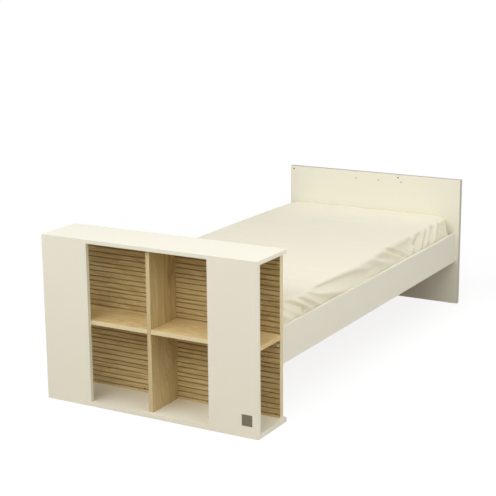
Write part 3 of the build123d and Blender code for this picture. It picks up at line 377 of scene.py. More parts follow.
def wood(name, light, dark, turn=(0, 0, 0), contrast=1.0, groove_face=None, front_band_and_highlight=None,
         band_and_highlight_share=0.35):
    """Oak or beech. Turn lays the grain, which runs along X, along another axis.
    Groove face is the place along Y of a grooved board's face and of its grooves' bottoms. Between these two
    places the grooves are darkened with painted shade.
    Front band is the colour of an edge band on the faces across Y, mixed in by its share. This lightening is
    partly the real light oak edge band and partly a painted highlight on the front edges."""
    material, tree, shader, place = new_material(name)
    turned = add_node(tree, "ShaderNodeMapping",
                      {"Vector": place["Object"], "Rotation": turn}).outputs["Vector"]
    grain = group_node(tree, "Wood grain", wood_grain_group,
                       {"Vector": turned, "Light": light, "Dark": dark, "Contrast": contrast})
    colour = grain["Color"]
    if groove_face:
        face, bottom = groove_face
        back = add_node(tree, "ShaderNodeSeparateXYZ", {"Vector": place["Object"]}).outputs["Y"]
        # Painted shade: the deeper a point lies in a groove, the more it is mixed toward a darker tone of the
        # grain. This stands in for the shade inside the groove.
        depth = add_node(tree, "ShaderNodeMapRange",
                         {"Value": back, "From Min": face, "From Max": bottom})
        inside = add_ramp(tree, depth.outputs["Result"], ((0.15, (0, 0, 0)), (0.8, (1, 1, 1))))
        groove_painted_shade = math_node(tree, "MULTIPLY", inside, 0.75)
        colour = mix_colours(tree, groove_painted_shade, colour, tinted(dark, 0.55))
    # Faces across Y are mixed toward the edge band colour. This is partly the light oak edge band and partly
    # a painted highlight, where the front edges face the light.
    if front_band_and_highlight:
        across = add_node(tree, "ShaderNodeSeparateXYZ", {"Vector": place["Normal"]}).outputs["Y"]
        banded = math_node(tree, "GREATER_THAN", math_node(tree, "ABSOLUTE", across), 0.8)
        lighter = mix_colours(tree, band_and_highlight_share, colour, front_band_and_highlight)
        colour = mix_colours(tree, banded, colour, lighter)
    tree.links.new(colour, shader.inputs["Base Color"])
    shader.inputs["Roughness"].default_value = 0.55
    shader.inputs["Specular IOR Level"].default_value = 0.3
    add_bump(tree, shader, grain["Height"], 0.25, 0.0003)
    return material


def metal(name, colour, roughness):
    """Plated or cast metal with a fine mottle."""
    material, tree, shader, place = new_material(name)
    surface = group_node(tree, "Fine surface", fine_surface_group,
                         {"Vector": place["Object"], "Color": colour, "Drift": 0.15, "Roughness": roughness,
                          "Pebble": 400.0})
    tree.links.new(surface["Color"], shader.inputs["Base Color"])
    tree.links.new(surface["Roughness"], shader.inputs["Roughness"])
    add_bump(tree, shader, surface["Height"], 0.15, 0.0001)
    shader.inputs["Metallic"].default_value = 1.0
    return material


def cloth(name, colour, threads=700.0, drift=0.05, coordinates="Object", bump=0.25):
    """Woven or knitted cloth."""
    material, tree, shader, place = new_material(name)
    weave = group_node(tree, "Cloth weave", cloth_weave_group,
                       {"Vector": place[coordinates], "Color": colour, "Threads": threads, "Drift": drift})
    tree.links.new(weave["Color"], shader.inputs["Base Color"])
    shader.inputs["Roughness"].default_value = 0.85
    shader.inputs["Specular IOR Level"].default_value = 0.2
    shader.inputs["Sheen Weight"].default_value = 0.15
    shader.inputs["Sheen Roughness"].default_value = 0.5
    add_bump(tree, shader, weave["Height"], bump, 0.0004)
    return material


def tinted(colour, share):
    """A lighter or darker tone of a colour."""
    return [min(1.0, part * share) for part in colour[:3]]


def finish_nodes(names, material):
    """Gives CAD nodes their material."""
    for name in names:
        for material_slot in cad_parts[name].material_slots:
            material_slot.material = material


# Modelling
def deselect_all():
    """Leaves nothing selected, in object mode."""
    if bpy.context.object and bpy.context.object.mode != "OBJECT":
        bpy.ops.object.mode_set(mode="OBJECT")
    bpy.ops.object.select_all(action="DESELECT")


def name_active(name, material):
    """Names the new piece, gives it its material and leaves its object at the origin."""
    piece = bpy.context.object
    piece.name = name
    piece.data.name = name
    bpy.ops.object.transform_apply(location=True, rotation=True, scale=True)
    piece.data.materials.clear()
    piece.data.materials.append(material)
    return piece


class CRIB_OT_boards(bpy.types.Operator):
    """Finish the ivory boards and rails, the label plate and the plastic caps and glides"""

    bl_idname = "crib.boards"
    bl_label = "Ivory Boards"

    def execute(self, context):
        colours = context.scene.crib_colours
        finish_nodes(IVORY_NODES, laminate("ivory_laminate", colours.ivory))
        finish_nodes(("footboard_panel",), laminate("ivory_footboard", colours.ivory,
                                                    faces=(footboard_outer, footboard_inner)))
        finish_nodes(("headboard_panel",), laminate("ivory_headboard", colours.ivory,
                                                    faces=(headboard_inner, headboard_outer)))
        finish_nodes(("footboard_caps", "bookcase_glides", "headboard_glides"),
                     laminate("off_white_plastic", OFF_WHITE, roughness=0.5))
        finish_nodes(("headboard_caps",), laminate("grey_plastic", CAP_GREY, roughness=0.5))
        finish_nodes(("label_plate",), metal("bronze_plate", BRONZE, 0.45))
        return {"FINISHED"}


class CRIB_OT_oak(bpy.types.Operator):
    """Finish the oak divider and shelves, the grooved facings and the edge bands"""

    bl_idname = "crib.oak"
    bl_label = "Oak Boards"

    def execute(self, context):
        colours = context.scene.crib_colours
        upright = (0, math.radians(90), 0)
        light, dark = colours.oak_light, colours.oak_dark
        band = colours.edge_band
        finish_nodes(("bookcase_divider",), wood("oak_upright", light, dark, turn=upright, front_band_and_highlight=band))
        # The shelves take a lighter copy of the divider's oak. This is painted light, standing in for the
        # light falling on their tops.
        finish_nodes(SHELF_NODES, wood("oak_shelf_painted_light", tinted(light, 1.3), tinted(dark, 1.45), front_band_and_highlight=band,
                                       band_and_highlight_share=0.8))
        foot_groove = (facing_front, facing_front + GROOVE_DEPTH)
        head_groove = (head_facing_front, head_facing_front - GROOVE_DEPTH)
        pale, shaded = tinted(light, 1.15), tinted(dark, 1.15)
        finish_nodes(("footboard_oak_facing",),
                     wood("grooved_oak_foot", pale, shaded, groove_face=foot_groove))
        finish_nodes(("headboard_oak_facing",),
                     wood("grooved_oak_head", pale, shaded, groove_face=head_groove))
        # The footboard's bands take the light oak edge band colour. The headboard's bands take its darker
        # grey copy, which is painted shade.
        for name, shade in (("footboard_edge_bands", band), ("headboard_edge_bands", colours.head_edge_band_painted_shade)):
            finish_nodes((name,), wood(name, shade, tinted(shade, 0.88), turn=upright, contrast=0.6))
        return {"FINISHED"}


class CRIB_OT_slatted_base(bpy.types.Operator):
    """Finish the beech slats and ledgers, the webbing and the dowels"""

    bl_idname = "crib.slatted_base"
    bl_label = "Slatted Base"

    def execute(self, context):
        finish_nodes(SLAT_NODES, wood("beech_slats", *BEECH, contrast=0.7))
        finish_nodes(("left_ledger_strip", "right_ledger_strip"),
                     wood("beech_ledgers", *BEECH, turn=(0, 0, math.radians(90)), contrast=0.7))
        finish_nodes(("bookcase_dowels", "rail_dowels"), wood("beech_dowels", *BEECH, contrast=0.5))
        finish_nodes(("left_slat_webbing", "right_slat_webbing"),
                     cloth("webbing_tape", TAPE, threads=260.0, bump=0.5))
        return {"FINISHED"}


class CRIB_OT_fastenings(bpy.types.Operator):
    """Finish the brackets, bolts, cam locks, screws, tacks and threaded inserts"""

    bl_idname = "crib.fastenings"
    bl_label = "Fastenings"

    def execute(self, context):
        zinc = metal("zinc_plate", ZINC, 0.35)
        finish_nodes(("cam_locks", "cam_bolts", "rail_brackets", "bracket_bolts", "ledger_screws",
                      "end_slat_screws", "webbing_tacks"), zinc)
        finish_nodes(("threaded_inserts",), metal("insert_brass", BRASS, 0.35))
        return {"FINISHED"}


# The mattress and its sheet
def smooth(value, start, end):
    """Goes smoothly from 0 at start to 1 at end."""
    share = np.clip((value - start) / (end - start), 0, 1)
    return share * share * (3 - 2 * share)


def steps_between(places, cells):
    """Coordinates that run through the given places in cells of about the given sizes."""
    found = [places[0]]
    for start, end, cell in zip(places, places[1:], cells):
        count = max(1, round((end - start) / cell))
        found += [start + (end - start) * (step + 1) / count for step in range(count)]
    return np.array(found)


def fold(along, height, start, end, half_width, rise, bow):
    """The cloth's rise along a fold from start to end on a side of the mattress, in (along, height)."""
    best = np.full(along.shape, np.inf)
    place = np.zeros(along.shape)
    bend = ((start[0] + end[0]) / 2, (start[1] + end[1]) / 2 + 2 * bow)
    for share in np.linspace(0, 1, 25):
        near, between, far = (1 - share) ** 2, 2 * share * (1 - share), share ** 2
        fold_along, fold_height = (near * start[axis] + between * bend[axis] + far * end[axis]
                                   for axis in (0, 1))
        distance = np.hypot(along - fold_along, height - fold_height)
        closer = distance < best
        best = np.where(closer, distance, best)
        place = np.where(closer, share, place)
    across = np.exp(-(best / half_width) ** 2)
    return rise * across * (0.25 + 0.75 * smooth(place, 0, 0.25) * smooth(1 - place, 0, 0.3))


# Folds of the right side as (start, end, half width, rise, bow), each place as (y, height above the floor)
RIGHT_FOLDS = (
    ((-0.835, 0.445), (-0.700, 0.372), 0.009, 0.0045, 0),
    ((-0.790, 0.455), (-0.625, 0.374), 0.008, 0.0055, -0.002),
    ((-0.749, 0.462), (-0.565, 0.380), 0.006, -0.0050, -0.002),
    ((-0.700, 0.458), (-0.530, 0.374), 0.007, 0.0060, -0.002),
    ((-0.660, 0.455), (-0.508, 0.384), 0.006, -0.0050, -0.002),
    ((-0.622, 0.453), (-0.445, 0.372), 0.008, 0.0065, -0.003),
    ((-0.600, 0.459), (-0.420, 0.399), 0.007, -0.0045, -0.003),
    ((-0.560, 0.440), (-0.190, 0.378), 0.014, 0.0075, -0.006),
    ((-0.540, 0.454), (-0.050, 0.420), 0.020, -0.0100, -0.004),
    ((-0.300, 0.378), (0.100, 0.376), 0.014, 0.0040, 0),
    ((-0.140, 0.452), (0.060, 0.415), 0.014, 0.0040, -0.004),
    ((0.050, 0.450), (0.300, 0.390), 0.018, 0.0055, -0.006),
    ((0.120, 0.448), (0.330, 0.395), 0.010, -0.0040, -0.003),
    ((0.205, 0.457), (0.418, 0.382), 0.010, 0.0060, -0.004),
    ((0.266, 0.456), (0.448, 0.390), 0.011, -0.0090, -0.003),
    ((0.300, 0.462), (0.511, 0.372), 0.009, 0.0070, -0.004),
    ((0.53, 0.452), (0.60, 0.390), 0.014, -0.0070, 0),
    ((0.600, 0.452), (0.530, 0.378), 0.012, 0.0050, 0),
    ((0.680, 0.453), (0.600, 0.395), 0.010, -0.0060, 0),
    ((0.735, 0.455), (0.630, 0.375), 0.011, 0.0050, 0),
    ((0.800, 0.456), (0.685, 0.372), 0.010, 0.0080, -0.004),
    ((0.850, 0.450), (0.760, 0.380), 0.012, -0.0060, 0),
    ((0.905, 0.460), (0.800, 0.374), 0.010, 0.0080, -0.004),
    ((0.930, 0.462), (0.915, 0.385), 0.008, 0.0060, 0),
    ((0.965, 0.463), (0.962, 0.390), 0.008, 0.0065, 0),
    ((1.000, 0.463), (1.004, 0.395), 0.008, 0.0065, 0),
    ((-0.765, 0.380), (-0.745, 0.376), 0.009, -0.0120, 0),
    ((-0.612, 0.384), (-0.592, 0.377), 0.009, -0.0130, 0),
    ((0.425, 0.384), (0.445, 0.378), 0.009, -0.0130, 0),
    ((1.010, 0.386), (1.030, 0.378), 0.010, -0.0130, 0),
)
# Where the mattress's right top edge runs in the photograph, as (y, x)
RIGHT_EDGE = ((-0.84, 0.420), (-0.71, 0.416), (-0.64, 0.446), (-0.44, 0.438), (-0.15, 0.447), (0.08, 0.438),
              (0.32, 0.422), (0.675, 0.425), (0.90, 0.420), (1.06, 0.412))
# Where its left top edge runs, over the left rail
LEFT_EDGE = ((-0.84, -0.458), (-0.55, -0.470), (-0.20, -0.474), (0.15, -0.470), (0.50, -0.473),
             (0.85, -0.468), (1.06, -0.455))


def seeded_folds(seed, start, end, spacing):
    """Folds like the right side's, for a side that the photograph doesn't show."""
    chance = random.Random(seed)
    folds = []
    place = start
    while place < end:
        lean = chance.uniform(0.02, 0.16) * chance.choice((-1, 1))
        top = chance.uniform(0.442, 0.457)
        foot = (place + lean, chance.uniform(0.366, 0.385))
        folds.append(((place, top), foot, chance.uniform(0.009, 0.018), chance.uniform(0.003, 0.007),
                      chance.uniform(-0.006, 0.002)))
        place += spacing * chance.uniform(0.6, 1.5)
    return folds


class SheetShape:
    """The form of the fitted sheet on the mattress, worked out over a grid of cloth."""

    def __init__(self, sizes):
        self.sizes = sizes
        self.middle_y = (sheet_low.y + sheet_high.y) / 2
        self.half_length = (sheet_high.y - sheet_low.y) / 2
        beside_rail, above_cloth, under_cloth = 0.0045, 0.0022, 0.0012
        self.half_width = rail_low.x - beside_rail
        self.top = sheet_high.z - above_cloth
        self.bottom = slat_top + under_cloth
        self.bottom_radius = 0.012
        corner, edge = sizes.corner_radius, sizes.edge_radius
        # Distances along the cloth, from where a corner begins to where each part of it ends
        self.flat_end = corner - edge
        self.edge_end = self.flat_end + edge * math.pi / 2
        self.side_end = self.edge_end + self.top - edge - self.bottom - self.bottom_radius
        self.bend_end = self.side_end + self.bottom_radius * math.pi / 2
        self.reach = self.bend_end + sizes.hem_width

    def grid(self):
        """Flat coordinates of the cloth's vertices, measured from its middle."""
        sizes = self.sizes
        straight_x = self.half_width - sizes.corner_radius
        straight_y = self.half_length - sizes.corner_radius
        fine_x = straight_x - 0.07
        p = steps_between((-straight_x - self.reach, -fine_x, fine_x, straight_x + self.reach),
                          (sizes.cell, sizes.middle_cell, sizes.cell))
        q = steps_between((-straight_y - self.reach, straight_y + self.reach), (sizes.cell,))
        return np.meshgrid(p, q, indexing="ij")

    def profile(self, distance):
        """Distance outward and height of the cloth, at a distance along it from where a corner begins."""
        edge, bend = self.sizes.edge_radius, self.bottom_radius
        turn = np.clip((distance - self.flat_end) / edge, 0, math.pi / 2)
        under = np.clip((distance - self.side_end) / bend, 0, math.pi / 2)
        out = np.where(distance < self.flat_end, distance,
                       self.flat_end + edge * np.sin(turn) - bend * (1 - np.cos(under)))
        down = np.clip(distance - self.edge_end, 0, self.side_end - self.edge_end)
        height = self.top - edge * (1 - np.cos(turn)) - down - bend * np.sin(under)
        return out, height

    def place(self, p, q):
        """Place of each vertex on the plain mattress, with what the folds need to know."""
        corner = self.sizes.corner_radius
        straight_x = self.half_width - corner
        straight_y = self.half_length - corner
        past_x = np.maximum(np.abs(p) - straight_x, 0) / self.reach
        past_y = np.maximum(np.abs(q) - straight_y, 0) / self.reach
        to_x = past_x * np.sqrt(1 - past_y ** 2 / 2)
        to_y = past_y * np.sqrt(1 - past_x ** 2 / 2)
        distance = np.hypot(to_x, to_y) * self.reach
        angle = np.arctan2(to_y, to_x)
        out, height = self.profile(distance)
        base_x = np.minimum(np.abs(p), straight_x)
        base_y = np.minimum(np.abs(q), straight_y)
        on_top = distance <= 0
        x = base_x + np.where(on_top, 0, out * np.cos(angle))
        y = base_y + np.where(on_top, 0, out * np.sin(angle))
        hem = np.clip((distance - self.bend_end) / self.sizes.hem_width, 0, 1)
        rim_radius = 0.03
        inset = self.sizes.hem_width + self.bottom_radius + rim_radius
        end_x = base_x * (self.half_width - inset) / straight_x + rim_radius * np.cos(angle)
        end_y = base_y * (self.half_length - inset) / straight_y + rim_radius * np.sin(angle)
        x = x + (end_x - x) * hem
        y = y + (end_y - y) * hem
        around = {
            "distance": distance, "hem": hem, "angle": angle,
            "unrolled": self.top - self.sizes.edge_radius + self.edge_end - distance,
            "along_y": np.sign(q) * (base_y + corner * angle),
            "along_x": np.sign(p) * (base_x + corner * (math.pi / 2 - angle)),
            "by_side": smooth(np.abs(p), straight_x - 0.2, straight_x + 0.02) * smooth(1.2 - angle, 0, 0.7),
            "by_end": smooth(np.abs(q), straight_y - 0.2, straight_y + 0.02) * smooth(angle, 0.35, 1.1),
        }
        return np.sign(p) * x, self.middle_y + np.sign(q) * y, height, around

    def lean(self, x, y, height):
        """Moves the sides to where the photograph has them, over the left rail and along the right."""
        still_middle, edge_round, edge_shift = 0.15, 0.02, 0.003
        above_rail = height - rail_high.z
        by_edge = smooth(np.abs(x), still_middle, self.half_width - edge_round)
        right = np.interp(y, *zip(*RIGHT_EDGE)) + edge_shift - self.half_width
        left = np.interp(y, *zip(*LEFT_EDGE)) + self.half_width
        right_share = smooth(above_rail, -0.015, 0.06)
        left_share = smooth(above_rail, 0.004, 0.024)
        return x + by_edge * np.where(x > 0, right * right_share, left * left_share)

    def surface(self, p, q):
        """The cloth before its folds."""
        x, y, height, around = self.place(p, q)
        crown = (1 - (x / self.half_width) ** 2) * (1 - ((y - self.middle_y) / self.half_length) ** 2)
        height = height + np.where(around["distance"] < self.edge_end, self.sizes.crown * crown, 0)
        return self.lean(x, y, height), y, height, around

    def folds(self, x, y, height, around):
        """How far the cloth rises off its plain form."""
        unrolled, distance = around["unrolled"], around["distance"]
        on_side = smooth(distance, self.flat_end - 0.03, self.flat_end + 0.01) * (1 - around["hem"])
        middle = self.middle_y
        rise = np.zeros(x.shape)
        sides = (
            (RIGHT_FOLDS, middle + around["along_y"], (x > 0) * around["by_side"]),
            (seeded_folds(11, -0.80, 1.0, 0.075), middle + around["along_y"],
             (x < 0) * around["by_side"] * 0.6),
            (seeded_folds(23, -0.42, 0.42, 0.07), around["along_x"], (y < middle) * around["by_end"] * 0.7),
            (seeded_folds(37, -0.42, 0.42, 0.07), around["along_x"], (y > middle) * around["by_end"] * 0.25),
        )
        for folds, along, share in sides:
            for start, end, half_width, size, bow in folds:
                rise += share * on_side * fold(along, unrolled, start, end, half_width, size, bow)
        return rise * self.sizes.fold_depth

    def keep_clear(self, points):
        """Keeps the cloth off the rails and the end boards."""
        gap, lip = 0.0008, 0.006
        x, y, height = (points[..., axis] for axis in range(3))
        inner = rail_low.x - gap
        beside = (np.abs(x) > inner) & (height < rail_high.z + gap)
        lifted = beside & (height > rail_high.z - lip)
        height[lifted] = rail_high.z + gap
        x[beside & ~lifted] = np.clip(x[beside & ~lifted], -inner, inner)
        np.clip(y, footboard_inner + gap, headboard_inner - gap, out=y)


def mesh_normals(points):
    """Normals of a grid of points."""
    along_p = np.gradient(points, axis=0)
    along_q = np.gradient(points, axis=1)
    normal = np.cross(along_p, along_q)
    length = np.linalg.norm(normal, axis=2, keepdims=True)
    return normal / np.maximum(length, 1e-12)


def cloth_noise(points, stretch, seed):
    """Soft noise between about -1 and 1 at each point, stretched along each axis."""
    flat = points.reshape(-1, 3)
    values = [noise.noise(Vector((a * stretch[0] + seed, b * stretch[1], c * stretch[2])))
              for a, b, c in flat]
    return np.array(values).reshape(points.shape[:2])


# A quad's corners, as steps along and across a grid
QUAD = ((0, 0), (1, 0), (1, 1), (0, 1))


def cloth_piece(name, points, faces, flat, fabric):
    """Makes a smooth piece of cloth, with its flat coordinates at each face's corners as its UV map."""
    mesh = bpy.data.meshes.new(name)
    mesh.from_pydata(points.reshape(-1, 3).tolist(), [], faces)
    mesh.uv_layers.new(name="cloth").data.foreach_set("uv", np.array(flat).ravel())
    mesh.polygons.foreach_set("use_smooth", [True] * len(faces))
    mesh.materials.append(fabric)
    mesh.update()
    piece = bpy.data.objects.new(name, mesh)
    bpy.context.scene.collection.objects.link(piece)
    return piece


def cloth_grid(name, points, flat, fabric):
    """Makes a piece of cloth from a grid of points and their flat coordinates."""
    columns, rows = points.shape[:2]
    index = np.arange(columns * rows).reshape(columns, rows)
    corners = [index[a:columns - 1 + a, b:rows - 1 + b] for a, b in QUAD]
    quads = np.stack(corners, axis=-1).reshape(-1, 4)
    return cloth_piece(name, points, quads.tolist(), flat.reshape(-1, 2)[quads.reshape(-1)], fabric)


# Room between the pad and the mattress's box, for the sheet and its folds
PAD_ROOM_LOW = (0.060, 0.022, 0.0042)
PAD_ROOM_HIGH = (0.042, 0.022, 0.010)
FILLING_FRAMES = 12
MOST_SWELLING = 0.004


class CRIB_OT_mattress(bpy.types.Operator):
    """Make the mattress in its own cover, which shows between the slats"""

    bl_idname = "crib.mattress"
    bl_label = "Mattress"

    def execute(self, context):
        deselect_all()
        low = Vector((core_low.x, core_low.y, slat_top)) + Vector(PAD_ROOM_LOW)
        high = core_high - Vector(PAD_ROOM_HIGH)
        bpy.ops.mesh.primitive_cube_add(size=1, location=(low + high) / 2, scale=high - low)
        bpy.ops.object.mode_set(mode="EDIT")
        bpy.ops.mesh.bevel(offset=0.03, segments=4, profile=0.6)
        bpy.ops.object.mode_set(mode="OBJECT")
        pad = name_active("mattress_pad", cloth("mattress_ticking", context.scene.crib_colours.ticking,
                                                threads=420.0, bump=0.4))
        remesh = pad.modifiers.new("even_mesh", "REMESH")
        remesh.mode = "VOXEL"
        remesh.voxel_size = 0.016
        bpy.ops.object.modifier_apply(modifier=remesh.name)
        self.fill(context, pad, low)
        bpy.ops.object.shade_smooth()
        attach(pad, BODY)
        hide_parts("mattress_core")
        return {"FINISHED"}

    def fill(self, context, pad, low):
        """Lets the cover swell with its filling, capped, and flat where it lies on the slats."""
        start = [vertex.co.copy() for vertex in pad.data.vertices]
        filling = pad.modifiers.new("filling", "CLOTH")
        filling.settings.use_pressure = True
        filling.settings.uniform_pressure_force = 4
        filling.settings.effector_weights.gravity = 0
        for number in range(1, FILLING_FRAMES + 1):
            context.scene.frame_set(number)
        bpy.ops.object.modifier_apply(modifier=filling.name)
        context.scene.frame_set(1)
        for vertex, place in zip(pad.data.vertices, start):
            move = vertex.co - place
            if move.length > MOST_SWELLING:
                vertex.co = place + move * (MOST_SWELLING / move.length)
            vertex.co.z = max(vertex.co.z, low.z)


class CRIB_OT_sheet(bpy.types.Operator):
    """Make the cream fitted sheet with its folds, and its gathered elastic hem under the mattress"""

    bl_idname = "crib.sheet"
    bl_label = "Fitted Sheet"

    def execute(self, context):
        sizes = context.scene.crib_sheet
        shape = SheetShape(sizes)
        p, q = shape.grid()
        x, y, height, around = shape.surface(p, q)
        points = np.stack((x, y, height), axis=-1)
        normals = mesh_normals(points)
        rise = shape.folds(x, y, height, around)
        on_top = 1 - smooth(around["distance"], 0, shape.edge_end)
        creases = cloth_noise(points, (2.2, 15, 2), 4.0) + 0.5 * cloth_noise(points, (5, 38, 4), 9.0)
        rise += sizes.crease_height * on_top * creases
        side = (1 - on_top) * (1 - around["hem"])
        rise += sizes.side_ripple * side * cloth_noise(points, (16, 20, 22), 17.0)
        gathers = np.sin((around["along_y"] + around["along_x"]) * 2 * math.pi / sizes.gather_spacing)
        rise -= sizes.gather_depth / 2 * around["hem"] * (1 + gathers)
        points += normals * rise[..., None]
        shape.keep_clear(points)
        fabric = cloth("cream_jersey", context.scene.crib_colours.sheet, coordinates="UV", threads=520.0)
        sheet = cloth_grid("sheet_cloth", points, np.stack((p, q), axis=-1), fabric)
        hem = self.elastic(points, sizes.elastic_radius, fabric)
        for piece in (sheet, hem):
            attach(piece, BODY)
        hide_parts("fitted_sheet")
        return {"FINISHED"}

    def elastic(self, points, radius, fabric):
        """The elastic sewn along the sheet's edge, as a cord of cloth with its gathers."""
        sides, flattened, above_slats, smallest_step = 8, 0.8, 0.0004, 1e-5
        rim = np.concatenate((points[:, 0], points[-1, 1:], points[-2::-1, -1], points[0, -2:0:-1]))
        rim = rim[np.linalg.norm(rim - np.roll(rim, 1, axis=0), axis=1) > smallest_step]
        ahead = np.roll(rim, -1, axis=0) - np.roll(rim, 1, axis=0)
        ahead[:, 2] = 0
        ahead /= np.linalg.norm(ahead, axis=1, keepdims=True)
        across = np.stack((-ahead[:, 1], ahead[:, 0], np.zeros(len(ahead))), axis=-1)
        rings = []
        for side in range(sides):
            turn = 2 * math.pi * side / sides
            rise = np.array((0, 0, 1)) * math.sin(turn) * flattened
            rings.append(rim + (across * math.cos(turn) + rise) * radius)
        rings = np.stack(rings, axis=1)
        rings[..., 2] += slat_top + above_slats - rings[..., 2].min()
        total = len(rim)
        along = np.append(0, np.cumsum(np.linalg.norm(np.roll(rim, -1, axis=0) - rim, axis=1)))
        around = 2 * math.pi * radius / sides
        faces, flat = [], []
        for place in range(total):
            for side in range(sides):
                corners = [(place + ahead_by, side + round_by) for ahead_by, round_by in QUAD]
                faces.append([a % total * sides + b % sides for a, b in corners])
                flat += [(along[a], around * b) for a, b in corners]
        return cloth_piece("sheet_elastic", rings, faces, flat, fabric)


# The stage. Each lamp has its name, place, aim, size and power in watts
LAMPS = (
    ("key_lamp", (-1.6, -3.2, 3.6), (0, -0.2, 0.3), (3.2, 3.2), 87),
    ("overhead_lamp", (0.4, 0, 3.6), (0.4, 0, 0), (4, 4), 25),
    ("high_front_lamp", (0.8, -4.6, 3.2), (0, -0.6, 0.4), (3, 2), 68),
    ("high_right_lamp", (3.0, -1.8, 3.2), (0.2, -0.4, 0.4), (2.6, 2.6), 52),
    ("right_lamp", (5.0, 0, 2.0), (0, 0, 0.4), (3, 2), 62),
    ("left_lamp", (-4.5, -2.0, 2.2), (0, 0, 0.4), (3, 2), 42),
    ("back_lamp", (0.6, 2.2, 3.2), (0, 0.2, 0.3), (3, 2), 26),
)


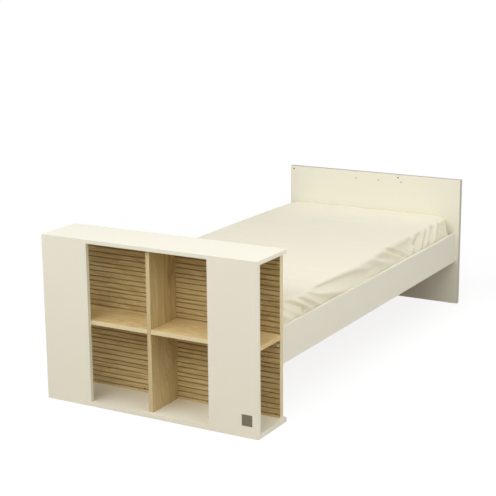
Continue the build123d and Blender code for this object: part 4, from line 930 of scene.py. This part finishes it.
class CRIB_OT_stage(bpy.types.Operator):
    """Set the floor, the lamps and the camera at the photograph's angle"""

    bl_idname = "crib.stage"
    bl_label = "Stage"

    def execute(self, context):
        stage = context.scene.crib_stage
        self.add_floor(stage, context.scene.crib_colours.floor)
        for name, place, aim, size, power in LAMPS:
            self.add_lamp(name, place, aim, size, power)
        self.light_room(context.scene, stage.sky_strength)
        self.add_camera(context.scene, stage)
        context.scene.view_settings.view_transform = "Standard"
        return {"FINISHED"}

    def add_floor(self, stage, colour):
        """A wide round floor that looks white to the camera and keeps the bed's shadow."""
        deselect_all()
        bpy.ops.mesh.primitive_circle_add(vertices=96, radius=stage.floor_radius, fill_type="NGON",
                                          location=(0, 0, -0.0005))
        floor = bpy.context.object
        floor.name = "studio_floor"
        bpy.ops.object.transform_apply(location=True, rotation=True, scale=True)
        material, tree, shader, place = new_material("studio_floor")
        surface = group_node(tree, "Fine surface", fine_surface_group,
                             {"Vector": place["Object"], "Color": colour, "Drift": 0.02, "Roughness": 0.8,
                              "Pebble": 60.0})
        tree.links.new(surface["Color"], shader.inputs["Base Color"])
        tree.links.new(surface["Roughness"], shader.inputs["Roughness"])
        shader.inputs["Specular IOR Level"].default_value = 0.0
        seen = seen_rays(tree)
        lit = add_node(tree, "ShaderNodeBsdfDiffuse", {"Color": FLOOR_SEEN})
        away = add_node(tree, "ShaderNodeVectorMath", {0: place["Object"]},
                        operation="LENGTH").outputs["Value"]
        strength = add_node(tree, "ShaderNodeMapRange",
                            {"Value": away, "From Min": 1.5, "From Max": 6, "To Min": 0.84, "To Max": 1.0})
        glow = add_node(tree, "ShaderNodeEmission", {"Color": WHITE, "Strength": strength.outputs["Result"]})
        both = add_node(tree, "ShaderNodeAddShader", {0: lit.outputs[0], 1: glow.outputs[0]})
        mix = add_node(tree, "ShaderNodeMixShader", {0: seen, 1: shader.outputs[0], 2: both.outputs[0]})
        tree.links.new(mix.outputs[0], tree.nodes["Material Output"].inputs["Surface"])
        floor.data.materials.append(material)

    def add_lamp(self, name, place, aim, size, power):
        """A large soft lamp that faces its aim."""
        lamp = bpy.data.lights.new(name, "AREA")
        lamp.shape = "RECTANGLE"
        lamp.size, lamp.size_y = size
        lamp.energy = power
        holder = bpy.data.objects.new(name, lamp)
        bpy.context.scene.collection.objects.link(holder)
        toward = Vector(aim) - Vector(place)
        holder.matrix_world = Matrix.Translation(place) @ toward.to_track_quat("-Z", "Y").to_matrix().to_4x4()

    def light_room(self, scene, strength):
        """An even pale room, white where the camera sees it."""
        room = bpy.data.worlds.new("pale_room")
        scene.world = room
        room.use_nodes = True
        tree = room.node_tree
        background = tree.nodes["Background"]
        background.inputs["Color"].default_value = WHITE
        extra = math_node(tree, "MULTIPLY", seen_rays(tree), 1 - strength)
        tree.links.new(math_node(tree, "ADD", extra, strength), background.inputs["Strength"])

    def add_camera(self, scene, stage):
        """The camera of the photograph."""
        lens = bpy.data.cameras.new("photo_camera")
        lens.lens = stage.lens
        lens.sensor_width = 36
        lens.clip_end = 200
        camera = bpy.data.objects.new("photo_camera", lens)
        scene.collection.objects.link(camera)
        turn, tilt, roll = stage.camera_turn, stage.camera_tilt, stage.camera_roll
        ahead = Vector((-math.sin(turn) * math.cos(tilt), math.cos(turn) * math.cos(tilt), -math.sin(tilt)))
        level = Vector((math.cos(turn), math.sin(turn), 0))
        upright = level.cross(ahead)
        right = level * math.cos(roll) - upright * math.sin(roll)
        up = upright * math.cos(roll) + level * math.sin(roll)
        axes = Matrix((right, up, -ahead)).transposed().to_4x4()
        camera.matrix_world = Matrix.Translation(stage.camera_place) @ axes
        scene.camera = camera


def seen_rays(tree):
    """1 for what the camera sees, straight or in a reflection or through glass."""
    path = tree.nodes.new("ShaderNodeLightPath")
    either = math_node(tree, "MAXIMUM", path.outputs["Is Camera Ray"], path.outputs["Is Glossy Ray"])
    return math_node(tree, "MAXIMUM", either, path.outputs["Is Transmission Ray"])


class CRIB_PT_panel(bpy.types.Panel):
    """The crib's sizes, colours and pieces"""

    bl_idname = "CRIB_PT_panel"
    bl_label = "Convertible Crib"
    bl_space_type = "VIEW_3D"
    bl_region_type = "UI"
    bl_category = "Crib"

    def draw(self, context):
        layout = self.layout
        for group in (context.scene.crib_colours, context.scene.crib_sheet, context.scene.crib_stage):
            box = layout.box()
            for name in group.__annotations__:
                box.prop(group, name)
        for operator in PIECES:
            layout.operator(operator.bl_idname)


PIECES = (CRIB_OT_boards, CRIB_OT_oak, CRIB_OT_slatted_base, CRIB_OT_fastenings, CRIB_OT_mattress,
          CRIB_OT_sheet, CRIB_OT_stage)
SETTINGS = (("crib_colours", CribColours), ("crib_sheet", CribSheetSizes), ("crib_stage", CribStage))


def register():
    """Registers the classes and hangs the settings on the scene."""
    for name, group in SETTINGS:
        bpy.utils.register_class(group)
        setattr(bpy.types.Scene, name, bpy.props.PointerProperty(type=group))
    for kind in (*PIECES, CRIB_PT_panel):
        bpy.utils.register_class(kind)


def unregister():
    """Takes the settings and the classes away again."""
    for kind in reversed((*PIECES, CRIB_PT_panel)):
        bpy.utils.unregister_class(kind)
    for name, group in reversed(SETTINGS):
        delattr(bpy.types.Scene, name)
        bpy.utils.unregister_class(group)


def main():
    """Makes every piece in turn."""
    register()
    bpy.ops.crib.boards()
    bpy.ops.crib.oak()
    bpy.ops.crib.slatted_base()
    bpy.ops.crib.fastenings()
    bpy.ops.crib.mattress()
    bpy.ops.crib.sheet()
    bpy.ops.crib.stage()


if __name__ == "__main__":
    main()
